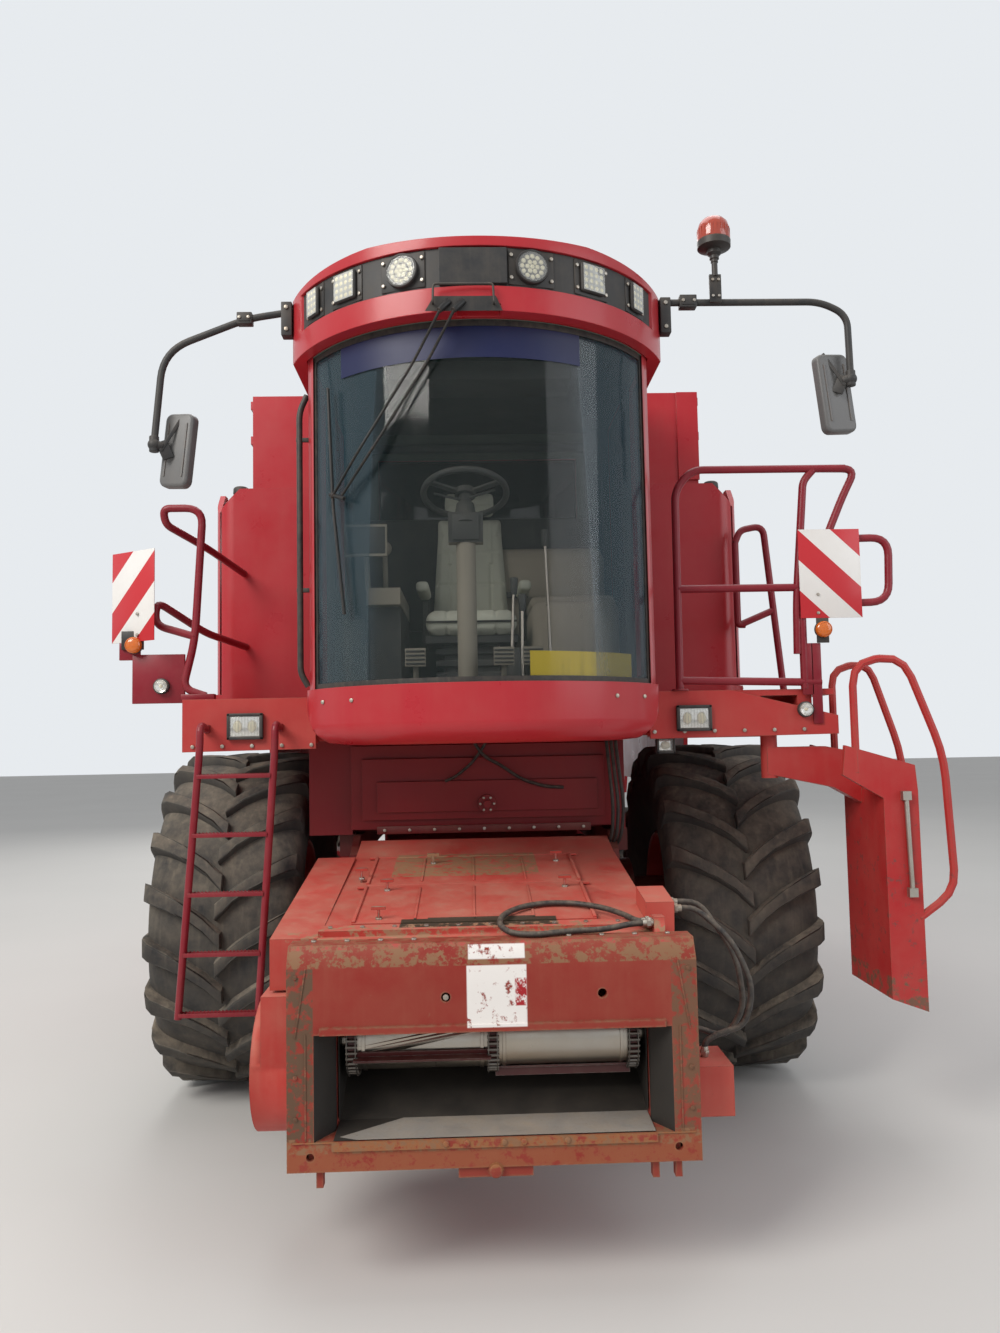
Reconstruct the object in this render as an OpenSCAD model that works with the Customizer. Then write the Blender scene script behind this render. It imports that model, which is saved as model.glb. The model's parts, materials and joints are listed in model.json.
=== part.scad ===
/* [Wheels] */
// Diameter of the front tyres, out to the tips of the lugs
front_tyre_d = 1860; // [1700:10:1900]
// Width of the front tyres
front_tyre_w = 790; // [650:10:800]
// Seat diameter of the front rims
front_rim_d = 830; // [760:10:900]
// Distance between the middles of the front tyres
front_track = 2700; // [2680:10:2900]
// Diameter of the rear tyres, out to the tips of the lugs
rear_tyre_d = 1260; // [1100:10:1290]
// Width of the rear tyres
rear_tyre_w = 380; // [300:10:400]
// Seat diameter of the rear rims
rear_rim_d = 625; // [560:5:680]
// Distance between the middles of the rear tyres
rear_track = 2500; // [2480:10:2700]
// Distance from the front axle to the rear axle
wheelbase = 3430; // [3400:10:3600]
// Height of the tread lugs
lug_h = 45; // [30:1:50]
// Lugs on each half of a tread
lug_count = 20; // [14:1:24]

/* [Threshing body] */
// Half the width of the upper body between the front wheels
body_half = 760; // [700:5:780]
// Half the width of the cleaning shoe under it
shoe_half = 620; // [560:5:640]
// Place of the front bulkhead, ahead of the front axle
bulkhead_y = -700; // [-740:5:-660]
// Place of the back of the upper body
body_rear_y = 3900; // [3850:10:4000]
// Height of the underside of the upper body
body_low_z = 1420; // [1400:5:1440]
// Height of the body's top, which carries the grain tank and engine
body_top_z = 2250; // [2200:10:2250]
// Radius of the cleaning fan's housing
fan_r = 330; // [250:5:340]
// Depth of the frame's side rails
rail_h = 170; // [120:5:200]

/* [Feeder house] */
// Place of the lift pivot along the machine
pivot_y = -770; // [-790:5:-750]
// Height of the lift pivot
pivot_z = 1290; // [1270:5:1295]
// Place of the coupling face at the front of the feeder
face_y = -2470; // [-2600:10:-2400]
// Half the width of the coupling face
face_half = 720; // [680:5:760]
// Height of the foot of the coupling face
face_low_z = 440; // [400:5:480]
// Height of the front edge of the coupling face
face_top_z = 1130; // [1100:5:1160]
// Half the width of the mouth
mouth_half = 565; // [520:5:600]
// Height of the mouth's sill
mouth_low_z = 540; // [520:5:600]
// Height of the mouth's upper edge
mouth_top_z = 900; // [860:5:940]
// Thickness of the feeder's sheet and stiffeners
feeder_wall = 22; // [15:1:30]
// How far the jambs of the mouth slant inwards
jamb_slant = 62; // [30:2:80]
// Radius of the conveyor drum
drum_r = 105; // [80:5:110]
// Slats on each half of the conveyor
slat_count = 18; // [12:1:24]

/* [Cab] */
// Half the width of the cab
cab_half = 780; // [740:5:800]
// Place of the windshield's foremost point
cab_front_y = -2000; // [-2040:10:-1960]
// Radius of the windshield's curve
cab_arc_r = 885; // [860:5:950]
// Place of the back of the cab
cab_rear_y = -400; // [-420:5:-395]
// Height of the underside of the cab's floor
cab_low_z = 2040; // [2030:5:2060]
// Height of the top of the cab's frame
cab_top_z = 3720; // [3680:5:3760]
// Thickness of the cab's walls and posts
cab_wall = 40; // [30:1:50]
// Radius of the roll at the foot of the cab's apron
apron_roll_r = 95; // [60:5:110]
// Thickness of the glass
glass_t = 8; // [6:1:12]
// Half the width of the roof
roof_half = 855; // [830:5:880]
// Height of the roof at its crown
roof_top_z = 4000; // [3960:5:4040]
// Place of the visor's foremost point
visor_front_y = -2080; // [-2100:5:-2060]
// Radius of the visor's curve
visor_r = 920; // [900:5:980]

/* [Deck] */
// Place of the front face of the deck's beam
deck_front_y = -1250; // [-1300:10:-1200]
// Height of the walking surface
deck_top_z = 2130; // [2110:5:2145]
// Height of the underside of the beam
deck_low_z = 1880; // [1870:5:1900]
// Reach of the deck to the left of the middle
deck_left_x = 1715; // [1680:5:1760]
// Reach of the deck to the right of the middle
deck_right_x = 1430; // [1400:5:1480]
// Radius of the handrail tubes
tube_r = 19; // [14:1:24]
// Radius of the ladder tubes
ladder_tube_r = 17; // [14:1:22]
// Rungs on the service ladder
rung_count = 5; // [4:1:6]
// Steps on the boarding ladder
step_count = 4; // [3:1:5]

/* [Grain tank] */
// Half the width of the tank under its extension
tank_half = 1140; // [1100:5:1145]
// Half the width of the tank's extension
extension_half = 1310; // [1250:5:1340]
// Place of the tank's front wall
tank_front_y = -250; // [-300:5:-200]
// Place of the tank's rear wall
tank_rear_y = 2100; // [2000:10:2120]
// Height of the tank's rim
tank_top_z = 3950; // [3800:10:4000]
// Height at which the extension starts
extension_low_z = 3530; // [3520:5:3600]
// Thickness of the tank's stiffened sheet
tank_wall = 30; // [20:1:40]

/* [Side shields and engine] */
// Space between the auger's riser and the left shield
riser_gap = 2; // [2:1:12]
// Place of the front of the side shields
shield_front_y = -450; // [-465:5:-445]
// Height of the foot of the side shields
shield_low_z = 2150; // [2150:5:2200]
// Height of the shields' front corners
shield_top_z = 3350; // [3250:10:3400]
// Height of the shields beside the grain tank
shelf_z = 3120; // [3050:5:3130]
// Thickness of the shields
shield_wall = 30; // [20:1:40]
// Radius of the shields' rounded corners
shield_corner_r = 120; // [60:5:160]
// Height of the engine hood
hood_top_z = 3430; // [3350:10:3480]
// Radius of the rotary air screen
screen_r = 480; // [400:5:490]

/* [Unloading auger] */
// Radius of the auger tube
auger_r = 165; // [140:1:165]
// Distance from the auger's swing axis to the end of the tube
auger_reach = 5700; // [5000:10:5800]
// Space between the tank's side and the stowed auger
tube_gap = 15; // [13:1:25]
// Place of the swing axis along the machine
auger_y = 200; // [190:5:240]
// Height of the middle of the stowed tube
auger_z = 3330; // [3320:1:3340]

/* [Hidden] */
$fn = 48;
NODES = [
    "main_frame", "front_axle", "threshing_body", "grain_tank", "side_shield_left", "side_shield_right",
    "side_door_left", "engine_hood", "engine_block", "exhaust_stack", "straw_hood", "straw_chopper",
    "chopper_rotor", "rear_axle", "elevators", "auger_riser", "unload_auger", "fuel_tank", "operator_deck",
    "deck_rail_left", "deck_rail_right", "service_ladder", "boarding_ladder", "cab_shell", "cab_apron",
    "cab_roof", "lamp_band", "lamps", "cab_glass", "cab_door", "door_glass", "seat_base",
    "seat_cushions", "cab_controls", "wiper", "vent_tube", "mirror_left", "mirror_right", "beacon",
    "warning_boards", "rotary_screen", "feeder_house", "feeder_face", "feeder_conveyor", "lift_barrels",
    "lift_rods", "front_tyre_left", "front_tyre_right", "front_rim_left", "front_rim_right",
    "rear_tyre_left", "rear_tyre_right", "rear_rim_left", "rear_rim_right", "knuckle_left",
    "knuckle_right", "hose_upper", "hose_lower", "hose_top"
];
node = "all";

// Middle of the machine's outline, measured from the ground under the front axle
middle_x = 178;
middle_y = 1890;
// Gap between faces that move past each other or rest on each other
gap = 0.4;
// Gap round doors and shields
panel_gap = 8;

front_r = front_tyre_d / 2;
rear_r = rear_tyre_d / 2;
front_x = front_track / 2;
rear_x = rear_track / 2;
cab_arc_y = cab_front_y + cab_arc_r;
visor_arc_y = visor_front_y + visor_r;
kingpin_x = rear_x - 270;
// Widths that follow the tank's
riser_r = 138;
auger_x = tank_half + auger_r + tube_gap;
tube_end = auger_y + auger_reach;
shield_half = auger_x + riser_r + riser_gap + shield_wall;
hood_half = tank_half - 80;
screen_bar_x = hood_half + 129;
elevator_x = tank_half + 100;
elevator_y = 1620;
face_back_y = face_y + 140;
// Lift cylinders: distance from the middle, and their two ends as Y and Z
lift_x = 715;
lift_base = [-230, 700];
lift_eye = [-1500, 830];
// Pins of the rods, and the room that they have in the feeder's eyes
pin_r = 20;
pin_play = 9.5;
lift_l = norm(lift_eye - lift_base);
lift_a = atan2(lift_eye[1] - lift_base[1], lift_base[0] - lift_eye[0]);
rotor_at = [5140, 1190];
hitch_y = 4900;
hitch_z = 760;
door_hinge_x = cab_half + 13;

red = [0.62, 0.05, 0.06];
dark_red = [0.42, 0.05, 0.08];
black = [0.06, 0.06, 0.06];
rubber = [0.13, 0.13, 0.12];
steel = [0.55, 0.55, 0.55];

// Puts the machine's frame, whose origin is under the front axle, into the part's frame.
module placed() {
    translate([-middle_x, -middle_y, 0]) children();
}

// A box between two values on each axis.
module block(x, y, z) {
    translate([x[0], y[0], z[0]]) cube([x[1] - x[0], y[1] - y[0], z[1] - z[0]]);
}

// An outline seen from the side, as Y and Z, made solid from x0 to x1.
module from_side(x0, x1) {
    translate([x0, 0, 0]) rotate([90, 0, 90]) linear_extrude(x1 - x0) children();
}

// An outline seen from the front, as X and Z, made solid from y0 to y1.
module from_front(y0, y1) {
    translate([0, y1, 0]) rotate([90, 0, 0]) linear_extrude(y1 - y0) children();
}

// An outline seen from above, made solid from z0 to z1.
module from_above(z0, z1) {
    translate([0, 0, z0]) linear_extrude(z1 - z0) children();
}

module both_sides() {
    children();
    mirror([1, 0, 0]) children();
}

// A round bar between two points.
module bar(a, b, r) {
    d = b - a;
    translate(a) rotate([0, acos(d[2] / norm(d)), atan2(d[1], d[0])]) cylinder(r = r, h = norm(d));
}

// A cylinder along the machine's width, from x0 to x1.
module cross_cylinder(x0, x1, y, z, r) {
    translate([x0, y, z]) rotate([0, 90, 0]) cylinder(r = r, h = x1 - x0);
}

// Round bar along the machine.
module long_cylinder(x, y0, y1, z, r) {
    translate([x, y0, z]) rotate([-90, 0, 0]) cylinder(r = r, h = y1 - y0);
}

function unit(v) = v / norm(v);

// A path with its corners rounded, each by a curve that starts r from the corner.
function rounded(p, r, steps = 3) = [
    p[0],
    for (i = [1 : 1 : len(p) - 2])
        let (
            back = p[i - 1] - p[i],
            on = p[i + 1] - p[i],
            k = min(r, 0.45 * norm(back), 0.45 * norm(on)),
            a = p[i] + unit(back) * k,
            c = p[i] + unit(on) * k
        )
        for (s = [0 : steps])
            let (t = s / steps) a * (1 - t) ^ 2 + p[i] * 2 * t * (1 - t) + c * t ^ 2,
    p[len(p) - 1]
];

function tangents(q) = [
    for (i = [0 : len(q) - 1]) unit(q[min(i + 1, len(q) - 1)] - q[max(i - 1, 0)])
];

// Normals carried along the tangents without twisting.
function normals(t, n, i = 0) =
    i == len(t) ? [] : let (m = unit(n - (n * t[i]) * t[i])) concat([m], normals(t, m, i + 1));

// A round tube swept along a path.
module swept(path, r, sides = 8) {
    t = tangents(path);
    first = abs(t[0][2]) < 0.9 ? [0, 0, 1] : [1, 0, 0];
    n = normals(t, first);
    rings = len(path);
    points = [
        for (i = [0 : rings - 1])
            for (j = [0 : sides - 1])
                path[i] + r * (cos(360 * j / sides) * n[i] + sin(360 * j / sides) * cross(t[i], n[i]))
    ];
    walls = [
        for (i = [0 : rings - 2])
            for (j = [0 : sides - 1])
                let (a = i * sides + j, b = i * sides + (j + 1) % sides)
                    each [[a, a + sides, b + sides], [a, b + sides, b]]
    ];
    foot = [for (j = [0 : sides - 1]) j];
    head = [for (j = [0 : sides - 1]) rings * sides - 1 - j];
    polyhedron(points, concat([foot], walls, [head]));
}

// A bent tube through a few corner points.
module bent_tube(corners, r, bend = 90, sides = 8) {
    swept(rounded(corners, bend), r, sides);
}

// -------- body and frame

module main_frame() placed() color(dark_red) {
    rail_x = body_half - 60;
    rail_low = body_low_z - rail_h;
    both_sides() {
        block([rail_x, body_half + 20], [330, 4700], [rail_low, body_low_z - gap]);
        // stand on the front axle
        block([rail_x, body_half + 20], [-170, 330], [1050 + gap, body_low_z - gap]);
        // plates of the feeder's pivot
        from_side(652, 690) polygon([
            [pivot_y - 80, pivot_z - 70], [pivot_y - 80, pivot_z + 50], [pivot_y + 70, body_low_z - gap],
            [-170, body_low_z - gap], [-170, rail_low], [pivot_y + 70, pivot_z - 90]
        ]);
        block([689, body_half + 20], [-560, -168], [rail_low + 50, body_low_z - gap]);
        cross_cylinder(mouth_half + 76, 700, pivot_y, pivot_z, 40);
        // hangers of the rear axle
        block([shoe_half + 12, rail_x + 2], [wheelbase - 120, wheelbase + 120], [775, rail_low + 60]);
    }
    // cross member, plates and pin that carry the rear axle
    translate([0, wheelbase, 0]) {
        block([-700, 700], [-60, 60], [775, 865]);
        for (y = [-115, 90]) block([-90, 90], [y, y + 25], [600, 865]);
        long_cylinder(0, -125, 125, 660, 30);
    }
    block([-rail_x, rail_x], [4500, 4700], [rail_low, body_low_z - gap]);
    // towing hitch
    block([-60, 60], [4600, 4700], [hitch_z, rail_low + 1]);
    difference() {
        union() {
            block([-90, 90], [4600, hitch_y], [hitch_z, hitch_z + 110]);
            translate([0, hitch_y, hitch_z]) cylinder(r = 90, h = 110);
        }
        translate([0, hitch_y, hitch_z - 10]) cylinder(r = 22, h = 140);
    }
}

module front_axle() placed() color(dark_red) {
    block([-shoe_half - 120, shoe_half + 120], [-150, 150], [780, 1050]);
    both_sides() {
        // final drive and its hub
        cross_cylinder(body_half + 20 + gap, 870, 0, front_r, 260);
        cross_cylinder(shoe_half + 100, 800, 0, front_r, 110);
        cross_cylinder(860, front_x - 60, 0, front_r, 150);
        block([body_half - 60, body_half + 20], [-170, 170], [700, 1050]);
    }
    // clevises of the lift cylinders
    both_sides() {
        for (x = [lift_x - 26, lift_x + 26]) {
            block([x - 5, x + 5], [lift_base[0] - 45, -100], [lift_base[1] - 45, 800]);
        }
        cross_cylinder(lift_x - 34, lift_x + 34, lift_base[0], lift_base[1], 24);
    }
    // gearbox
    block([-260, 220], [150, 330], [760, 1150]);
}

module threshing_body() placed() color(red) {
    difference() {
        union() {
            block([-body_half, body_half], [bulkhead_y + 60, 0], [body_low_z, cab_low_z - gap]);
            block([-body_half, body_half], [cab_rear_y + 10, body_rear_y], [body_low_z, body_top_z]);
        }
        // room for the feeder's rear end
        block([-body_half + 60, body_half - 60], [bulkhead_y, bulkhead_y + 260], [body_low_z - 10, 1450]);
    }
    // stepped front wall
    block([-700, 700], [bulkhead_y, bulkhead_y + 70], [1450, 1890]);
    block([-640, 640], [bulkhead_y - 25, bulkhead_y], [1500, 1820]);
    block([-560, 600], [bulkhead_y - 45, bulkhead_y - 20], [1540, 1700]);
    // shaft end in the middle of the wall
    long_cylinder(17, bulkhead_y - 70, bulkhead_y - 40, 1578, 48);
    long_cylinder(17, bulkhead_y - 105, bulkhead_y - 65, 1578, 20);
    // duct at the right
    block([-930, -body_half], [bulkhead_y + 60, bulkhead_y + 260], [1420, cab_low_z - 90]);
    // cleaning shoe and fan
    from_side(-shoe_half, shoe_half) polygon([
        [700, body_low_z + 5], [700, 900], [1200, 700], [2400, 760], [4300, 980], [4300, body_low_z + 5]
    ]);
    cross_cylinder(-shoe_half + 10, shoe_half - 10, 700, 1080, fan_r);
    // side covers with their ribs
    both_sides() {
        block([body_half, body_half + 14], [700, 1500], [1500, 2120]);
        block([body_half, body_half + 14], [1560, 2400], [1500, 2120]);
        block([body_half, body_half + 14], [2460, 3300], [1500, 2120]);
    }
    // drive pulleys at the left
    cross_cylinder(shoe_half, shoe_half + 60, 700, 1080, 190);
    cross_cylinder(body_half + 14, body_half + 70, 2900, 1800, 230);
    cross_cylinder(body_half + 14, body_half + 60, 1250, 1750, 140);
}

// -------- grain tank

// Outline of the tank seen from the front, drawn in by the given thickness.
module tank_section(inset, low, top) {
    polygon([
        [-tank_half + inset, low], [tank_half - inset, low], [tank_half - inset, extension_low_z],
        [extension_half - inset, extension_low_z + 60], [extension_half - inset, top],
        [-extension_half + inset, top], [-extension_half + inset, extension_low_z + 60],
        [-tank_half + inset, extension_low_z]
    ]);
}

module grain_tank() placed() color(red) {
    low = body_top_z + gap;
    difference() {
        union() {
            from_front(tank_front_y, tank_rear_y) tank_section(0, low, tank_top_z);
            // front skirt down to the shields
            block([-extension_half, extension_half], [tank_front_y, tank_front_y + 50],
                [shelf_z + 60, extension_low_z + 80]);
            // stiffeners
            for (z = [extension_low_z + 150, tank_top_z - 60]) {
                both_sides() block(
                    [extension_half, extension_half + 25], [tank_front_y + 60, tank_rear_y - 20], [z, z + 50]
                );
            }
        }
        from_front(tank_front_y + tank_wall, tank_rear_y - tank_wall) polygon([
            [-250, low + 70], [250, low + 70], [tank_half - tank_wall, low + 620],
            [tank_half - tank_wall, extension_low_z], [extension_half - tank_wall, extension_low_z + 60],
            [extension_half - tank_wall, tank_top_z + 10], [-extension_half + tank_wall, tank_top_z + 10],
            [-extension_half + tank_wall, extension_low_z + 60], [-tank_half + tank_wall, extension_low_z],
            [-tank_half + tank_wall, low + 620]
        ]);
    }
    // folded lip at the left front corner
    block([extension_half - 120, extension_half + 5], [tank_front_y - 12, tank_front_y], [3420, tank_top_z]);
    // grain auger on the floor
    long_cylinder(0, tank_front_y + tank_wall, tank_rear_y - tank_wall, low + 190, 60);
}

// -------- side shields and engine

// Outline of a side shield seen from the side, as Y and Z.
module shield_outline() {
    polygon([
            [shield_front_y, shield_low_z], [1080, shield_low_z], [1180, 1350], [2700, 1350], [2900, 1520],
            [3950, 1520], [4050, 1350], [5100, 1500], [5250, 2700], [4900, 2950], [4400, shelf_z],
            [-60, shelf_z], [-80, shield_top_z - 150], [-230, shield_top_z],
            [shield_front_y + 170, shield_top_z], [shield_front_y, shield_top_z - 190]
    ]);
}

// A shield before its cuts, for the side where X is positive.
module shield_body(screen) {
    inner = shield_half - shield_wall;
    difference() {
        union() {
            from_side(inner, shield_half) shield_outline();
            // front face, rounded at its outer edge
            from_front(shield_front_y, -60) polygon([
                [cab_half + 30, shield_low_z], [shield_half - 1, shield_low_z],
                [shield_half - 1, shield_top_z - 150], [shield_half - 150, shield_top_z],
                [cab_half + 30, shield_top_z]
            ]);
        }
        // hollow behind the front face
        low = shield_low_z - 10;
        block([cab_half, inner], [shield_front_y + shield_wall, 0], [low, shield_top_z - shield_wall]);
        block([cab_half, tank_half + panel_gap], [tank_front_y - panel_gap, 0], [low, shield_top_z + 10]);
        block([cab_half, extension_half + 10], [tank_front_y - panel_gap, 0],
            [shelf_z + 40, shield_top_z + 10]);
        // rounded vertical corner
        difference() {
            block([shield_half - shield_corner_r, shield_half + 1],
                [shield_front_y - 1, shield_front_y + shield_corner_r], [shield_low_z - 1, shield_top_z + 1]);
            translate([shield_half - shield_corner_r, shield_front_y + shield_corner_r, shield_low_z - 2])
                cylinder(r = shield_corner_r, h = shield_top_z - shield_low_z + 4);
        }
        if (screen) cross_cylinder(inner - 10, shield_half + 10, 2750, 2660, screen_r + panel_gap);
    }
}

// Brackets that carry a shield on the body.
module shield_brackets() {
    for (y = [1300, 2550, 3700]) {
        block([body_half + gap, shield_half - shield_wall], [y, y + 50], [2140, 2200]);
    }
    block([tank_half + panel_gap, shield_half - shield_wall], [-50, 0], [2400, 2450]);
    block([cab_half + 40, shield_half - 10], [shield_front_y + 20, shield_front_y + 120],
        [shield_low_z, shield_low_z + 40]);
}

module side_shield_left() placed() color(red) {
    difference() {
        shield_body(false);
        block([shield_half - shield_wall - 1, shield_half + 1], [1600 - panel_gap, 2600 + panel_gap],
            [1500 - panel_gap, 2900 + panel_gap]);
    }
    shield_brackets();
    // ears of the door's hinge
    for (z = [1539.6, 2840.4]) {
        translate([shield_half + 14, 1606, z]) cylinder(r = 10, h = 20);
        block([shield_half - 5, shield_half + 20], [1560, 1590], [z, z + 20]);
        block([shield_half + 6, shield_half + 20], [1585, 1606], [z, z + 20]);
    }
    // dome cap on the corner
    translate([shield_half - 130, -330, shield_top_z - 20]) cylinder(r = 40, h = 45);
    // cradle under the stowed auger
    block([auger_x - auger_r - 45, shield_half - 20], [4300, 4360], [shelf_z - 60, auger_z - auger_r - 12]);
    block([auger_x - auger_r - 45, auger_x - auger_r - 12], [4300, 4360], [shelf_z - 60, auger_z + 20]);
}

module side_shield_right() placed() color(red) mirror([1, 0, 0]) {
    shield_body(true);
    shield_brackets();
    translate([shield_half - 130, -330, shield_top_z - 20]) cylinder(r = 40, h = 45);
}

module side_door_left() placed() color(red) {
    block([shield_half - shield_wall, shield_half], [1600, 2600], [1500, 2900]);
    block([shield_half, shield_half + 12], [1700, 2500], [2150, 2260]);
    // hinge barrel and latch
    translate([shield_half + 14, 1606, 1560]) cylinder(r = 10, h = 1280);
    block([shield_half - 5, shield_half + 14], [1602, 1612], [1560, 2840]);
    block([shield_half, shield_half + 25], [2510, 2570], [2170, 2240]);
}

module engine_block() placed() color(black) {
    low = body_top_z + gap;
    block([-420, 380], [2200, 3350], [low + 20, 3000]);
    block([-380, 340], [2230, 3320], [low, low + 20]);
    long_cylinder(0, 2160, 2200 + gap, 2560, 170);
}

module engine_hood() placed() color(red) {
    low = body_top_z + gap;
    hood_front = tank_rear_y + gap;
    difference() {
        union() {
            block([-hood_half, hood_half], [hood_front, body_rear_y - 20], [low, shelf_z - 40]);
            from_side(-hood_half, hood_half) polygon([
                [hood_front, shelf_z - 60], [body_rear_y - 20, shelf_z - 60], [body_rear_y - 260, hood_top_z],
                [hood_front, hood_top_z]
            ]);
            // housing of the air screen
            block([-shield_half + shield_wall + panel_gap, -hood_half + 10], [2180, 3320],
                [2200, shelf_z - 60]);
        }
        block([-hood_half + 40, hood_half - 40], [hood_front + 40, body_rear_y - 60],
            [low - 1, hood_top_z - 300]);
        // duct behind the air screen
        cross_cylinder(-shield_half, -hood_half + 60, 2750, 2660, screen_r - 30);
        // louvres at the back
        for (z = [0 : 5]) {
            block([-800, 800], [body_rear_y - 100, body_rear_y], [2450 + 90 * z, 2500 + 90 * z]);
        }
    }
    // bar that carries the air screen's shaft
    block([-screen_bar_x, 39 - screen_bar_x], [2750 - screen_r, 2750 + screen_r], [2630, 2690]);
    // ribs over the hood
    for (x = [-700, 0, 700]) {
        block([x - 30, x + 30], [hood_front, body_rear_y - 280], [hood_top_z - 1, hood_top_z + 15]);
    }
}

module rotary_screen() placed() color(black) {
    y = 2750;
    z = 2660;
    difference() {
        cross_cylinder(-shield_half - 20, -shield_half + 25, y, z, screen_r);
        cross_cylinder(-shield_half - 10, -shield_half + 26, y, z, screen_r - 25);
    }
    cross_cylinder(-shield_half - 28, -shield_half - 8, y, z, 90);
    for (a = [0 : 45 : 179]) {
        translate([-shield_half - 15, y, z]) rotate([a, 0, 0])
            block([0, 12], [-12, 12], [-screen_r + 15, screen_r - 15]);
    }
    for (r = [190, 290, 390]) {
        difference() {
            cross_cylinder(-shield_half - 14, -shield_half - 4, y, z, r + 8);
            cross_cylinder(-shield_half - 15, -shield_half - 3, y, z, r - 8);
        }
    }
    // shaft
    cross_cylinder(-shield_half - 10, -screen_bar_x - gap, y, z, 40);
}

module exhaust_stack() placed() color(black) {
    translate([560, 2700, hood_top_z + gap]) cylinder(r = 75, h = 400);
    translate([560, 2700, hood_top_z + gap]) cylinder(r = 105, h = 40);
    difference() {
        translate([560, 2700, hood_top_z + 390]) rotate([0, 30, 0]) cylinder(r = 60, h = 120);
        translate([560, 2700, hood_top_z + 390]) rotate([0, 30, 0]) cylinder(r = 52, h = 140);
    }
    // air cleaner's inlet
    translate([-560, 2500, hood_top_z + gap]) cylinder(r = 65, h = 240);
    translate([-560, 2500, hood_top_z + 200]) cylinder(r = 130, h = 130);
}

// -------- rear end

module straw_hood() placed() color(red) {
    rear = body_rear_y + gap;
    difference() {
        union() {
            from_side(-body_half - 140, body_half + 140) polygon([
                [rear, 1430], [4700, 1430], [5500, 1500], [5700, 1700], [5560, 2600], [5200, 2950],
                [4300, 3050], [rear, 3050]
            ]);
        }
        // straw passage, open at the rear and below
        from_side(-body_half - 100, body_half + 100) polygon([
            [rear + 60, 1990], [4800, 1700], [4950, 1400], [5440, 1400], [5640, 1720], [5500, 2580],
            [5170, 2890], [rear + 60, 2960]
        ]);
        // rear opening
        block([-body_half - 60, body_half + 60], [5300, 5800], [1720, 2450]);
    }
    // hinged flap's rail over the opening
    block([-body_half - 100, body_half + 100], [5520, 5590], [2450, 2510]);
    // rear lamps
    both_sides() block([body_half - 60, body_half + 100], [5560, 5640], [2530, 2650]);
}

module straw_chopper() placed() color(red) {
    low = 800;
    difference() {
        from_side(-700, 700) polygon([
            [4760, 1435 - gap], [4760, 1150], [4900, 950], [5300, 900], [5950, 1050], [6080, 1180],
            [5640, 1480], [5450, 1495 - gap]
        ]);
        from_side(-670, 670) polygon([
            [4820, 1520], [4820, 1170], [4930, 1000], [5300, 940], [5950, 1090], [6120, 1140], [6100, 1180],
            [5560, 1440], [5500, 1560]
        ]);
        cross_cylinder(-720, 720, rotor_at[0], rotor_at[1], 30 + gap);
    }
    // spreading fins
    for (x = [-2 : 2]) from_side(x * 230 - 5, x * 230 + 5) polygon([
        [5500, 960], [5940, 1070], [5940, 1180], [5500, 1080]
    ]);
}

module chopper_rotor() placed() color(steel) {
    translate([0, rotor_at[0], rotor_at[1]]) {
        cross_cylinder(-662, 662, 0, 0, 130);
        for (x = [-6 : 6]) {
            translate([x * 96, 0, 0]) rotate([x * 40, 0, 0]) block([-5, 5], [-20, 20], [-190, 190]);
        }
        cross_cylinder(-715, 760, 0, 0, 30);
        cross_cylinder(712, 755, 0, 0, 150);
    }
}

module fuel_tank() placed() color(black) {
    difference() {
        block([-shield_half + 150, -body_half - 140 - gap], [4300, 5000], [1460, 2100]);
        for (y = [4290, 5010]) for (z = [1450, 2110])
            cross_cylinder(-shield_half + 140, -700, y, z, 60, $fn = 4);
    }
    cross_cylinder(-shield_half + 140, -shield_half + 170, 4500, 1950, 60);
}

module elevators() placed() color(red) {
    // clean grain elevator at the right
    block([-elevator_x - 90, -elevator_x + 90], [elevator_y - 140, elevator_y + 140], [900, shelf_z - 40]);
    from_front(elevator_y - 120, elevator_y + 120) polygon([
        [-elevator_x, 900], [-shoe_half - gap, 800], [-shoe_half - gap, 1000], [-elevator_x, 1150]
    ]);
    cross_cylinder(-elevator_x - 80, -elevator_x + 80, elevator_y, 900, 140);
    // tailings elevator
    block([-shoe_half - 170, -shoe_half - gap], [2350, 2550], [900, 1240]);
    block([body_half + 100, body_half + 260], [1900, 2100], [1250, 2240]);
    from_front(1900, 2100) polygon([
        [shoe_half + gap, 950], [body_half + 260, 1250], [body_half + 100, 1300], [shoe_half + gap, 1100]
    ]);
    block([-elevator_x + 89, -tank_half - gap], [elevator_y - 120, elevator_y + 120], [2950, 3070]);
}

// -------- unloading auger

module auger_riser() placed() color(red) {
    translate([auger_x, auger_y, 1950]) cylinder(r = riser_r - 3, h = auger_z - auger_r - 55 - 1950);
    translate([auger_x, auger_y, auger_z - auger_r - 75]) cylinder(r = riser_r, h = 35);
    // elbow into the side of the tank's sump
    block([body_half + gap, auger_x], [auger_y - 120, auger_y + 120], [1960, 2140]);
}

module unload_auger() placed() color(red) {
    start = auger_z - auger_r - 40 + gap;
        translate([auger_x, auger_y, start]) cylinder(r = riser_r, h = auger_z - start);
    translate([auger_x, auger_y, auger_z]) sphere(r = auger_r);
    difference() {
        long_cylinder(auger_x, auger_y, tube_end, auger_z, auger_r - 5);
        long_cylinder(auger_x, tube_end - 300, tube_end + 100, auger_z, auger_r - 20);
    }
    for (y = [2100, 4000]) long_cylinder(auger_x, y, y + 30, auger_z, auger_r);
    difference() {
        spout(0);
        spout(18);
    }
}

// Rubber spout at the end of the tube, drawn in by its wall.
module spout(wall) {
    translate([auger_x, tube_end, auger_z]) rotate([-115, 0, 0])
        cylinder(r = auger_r - wall, h = 320 + wall);
}

// -------- rear axle and wheels

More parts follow.
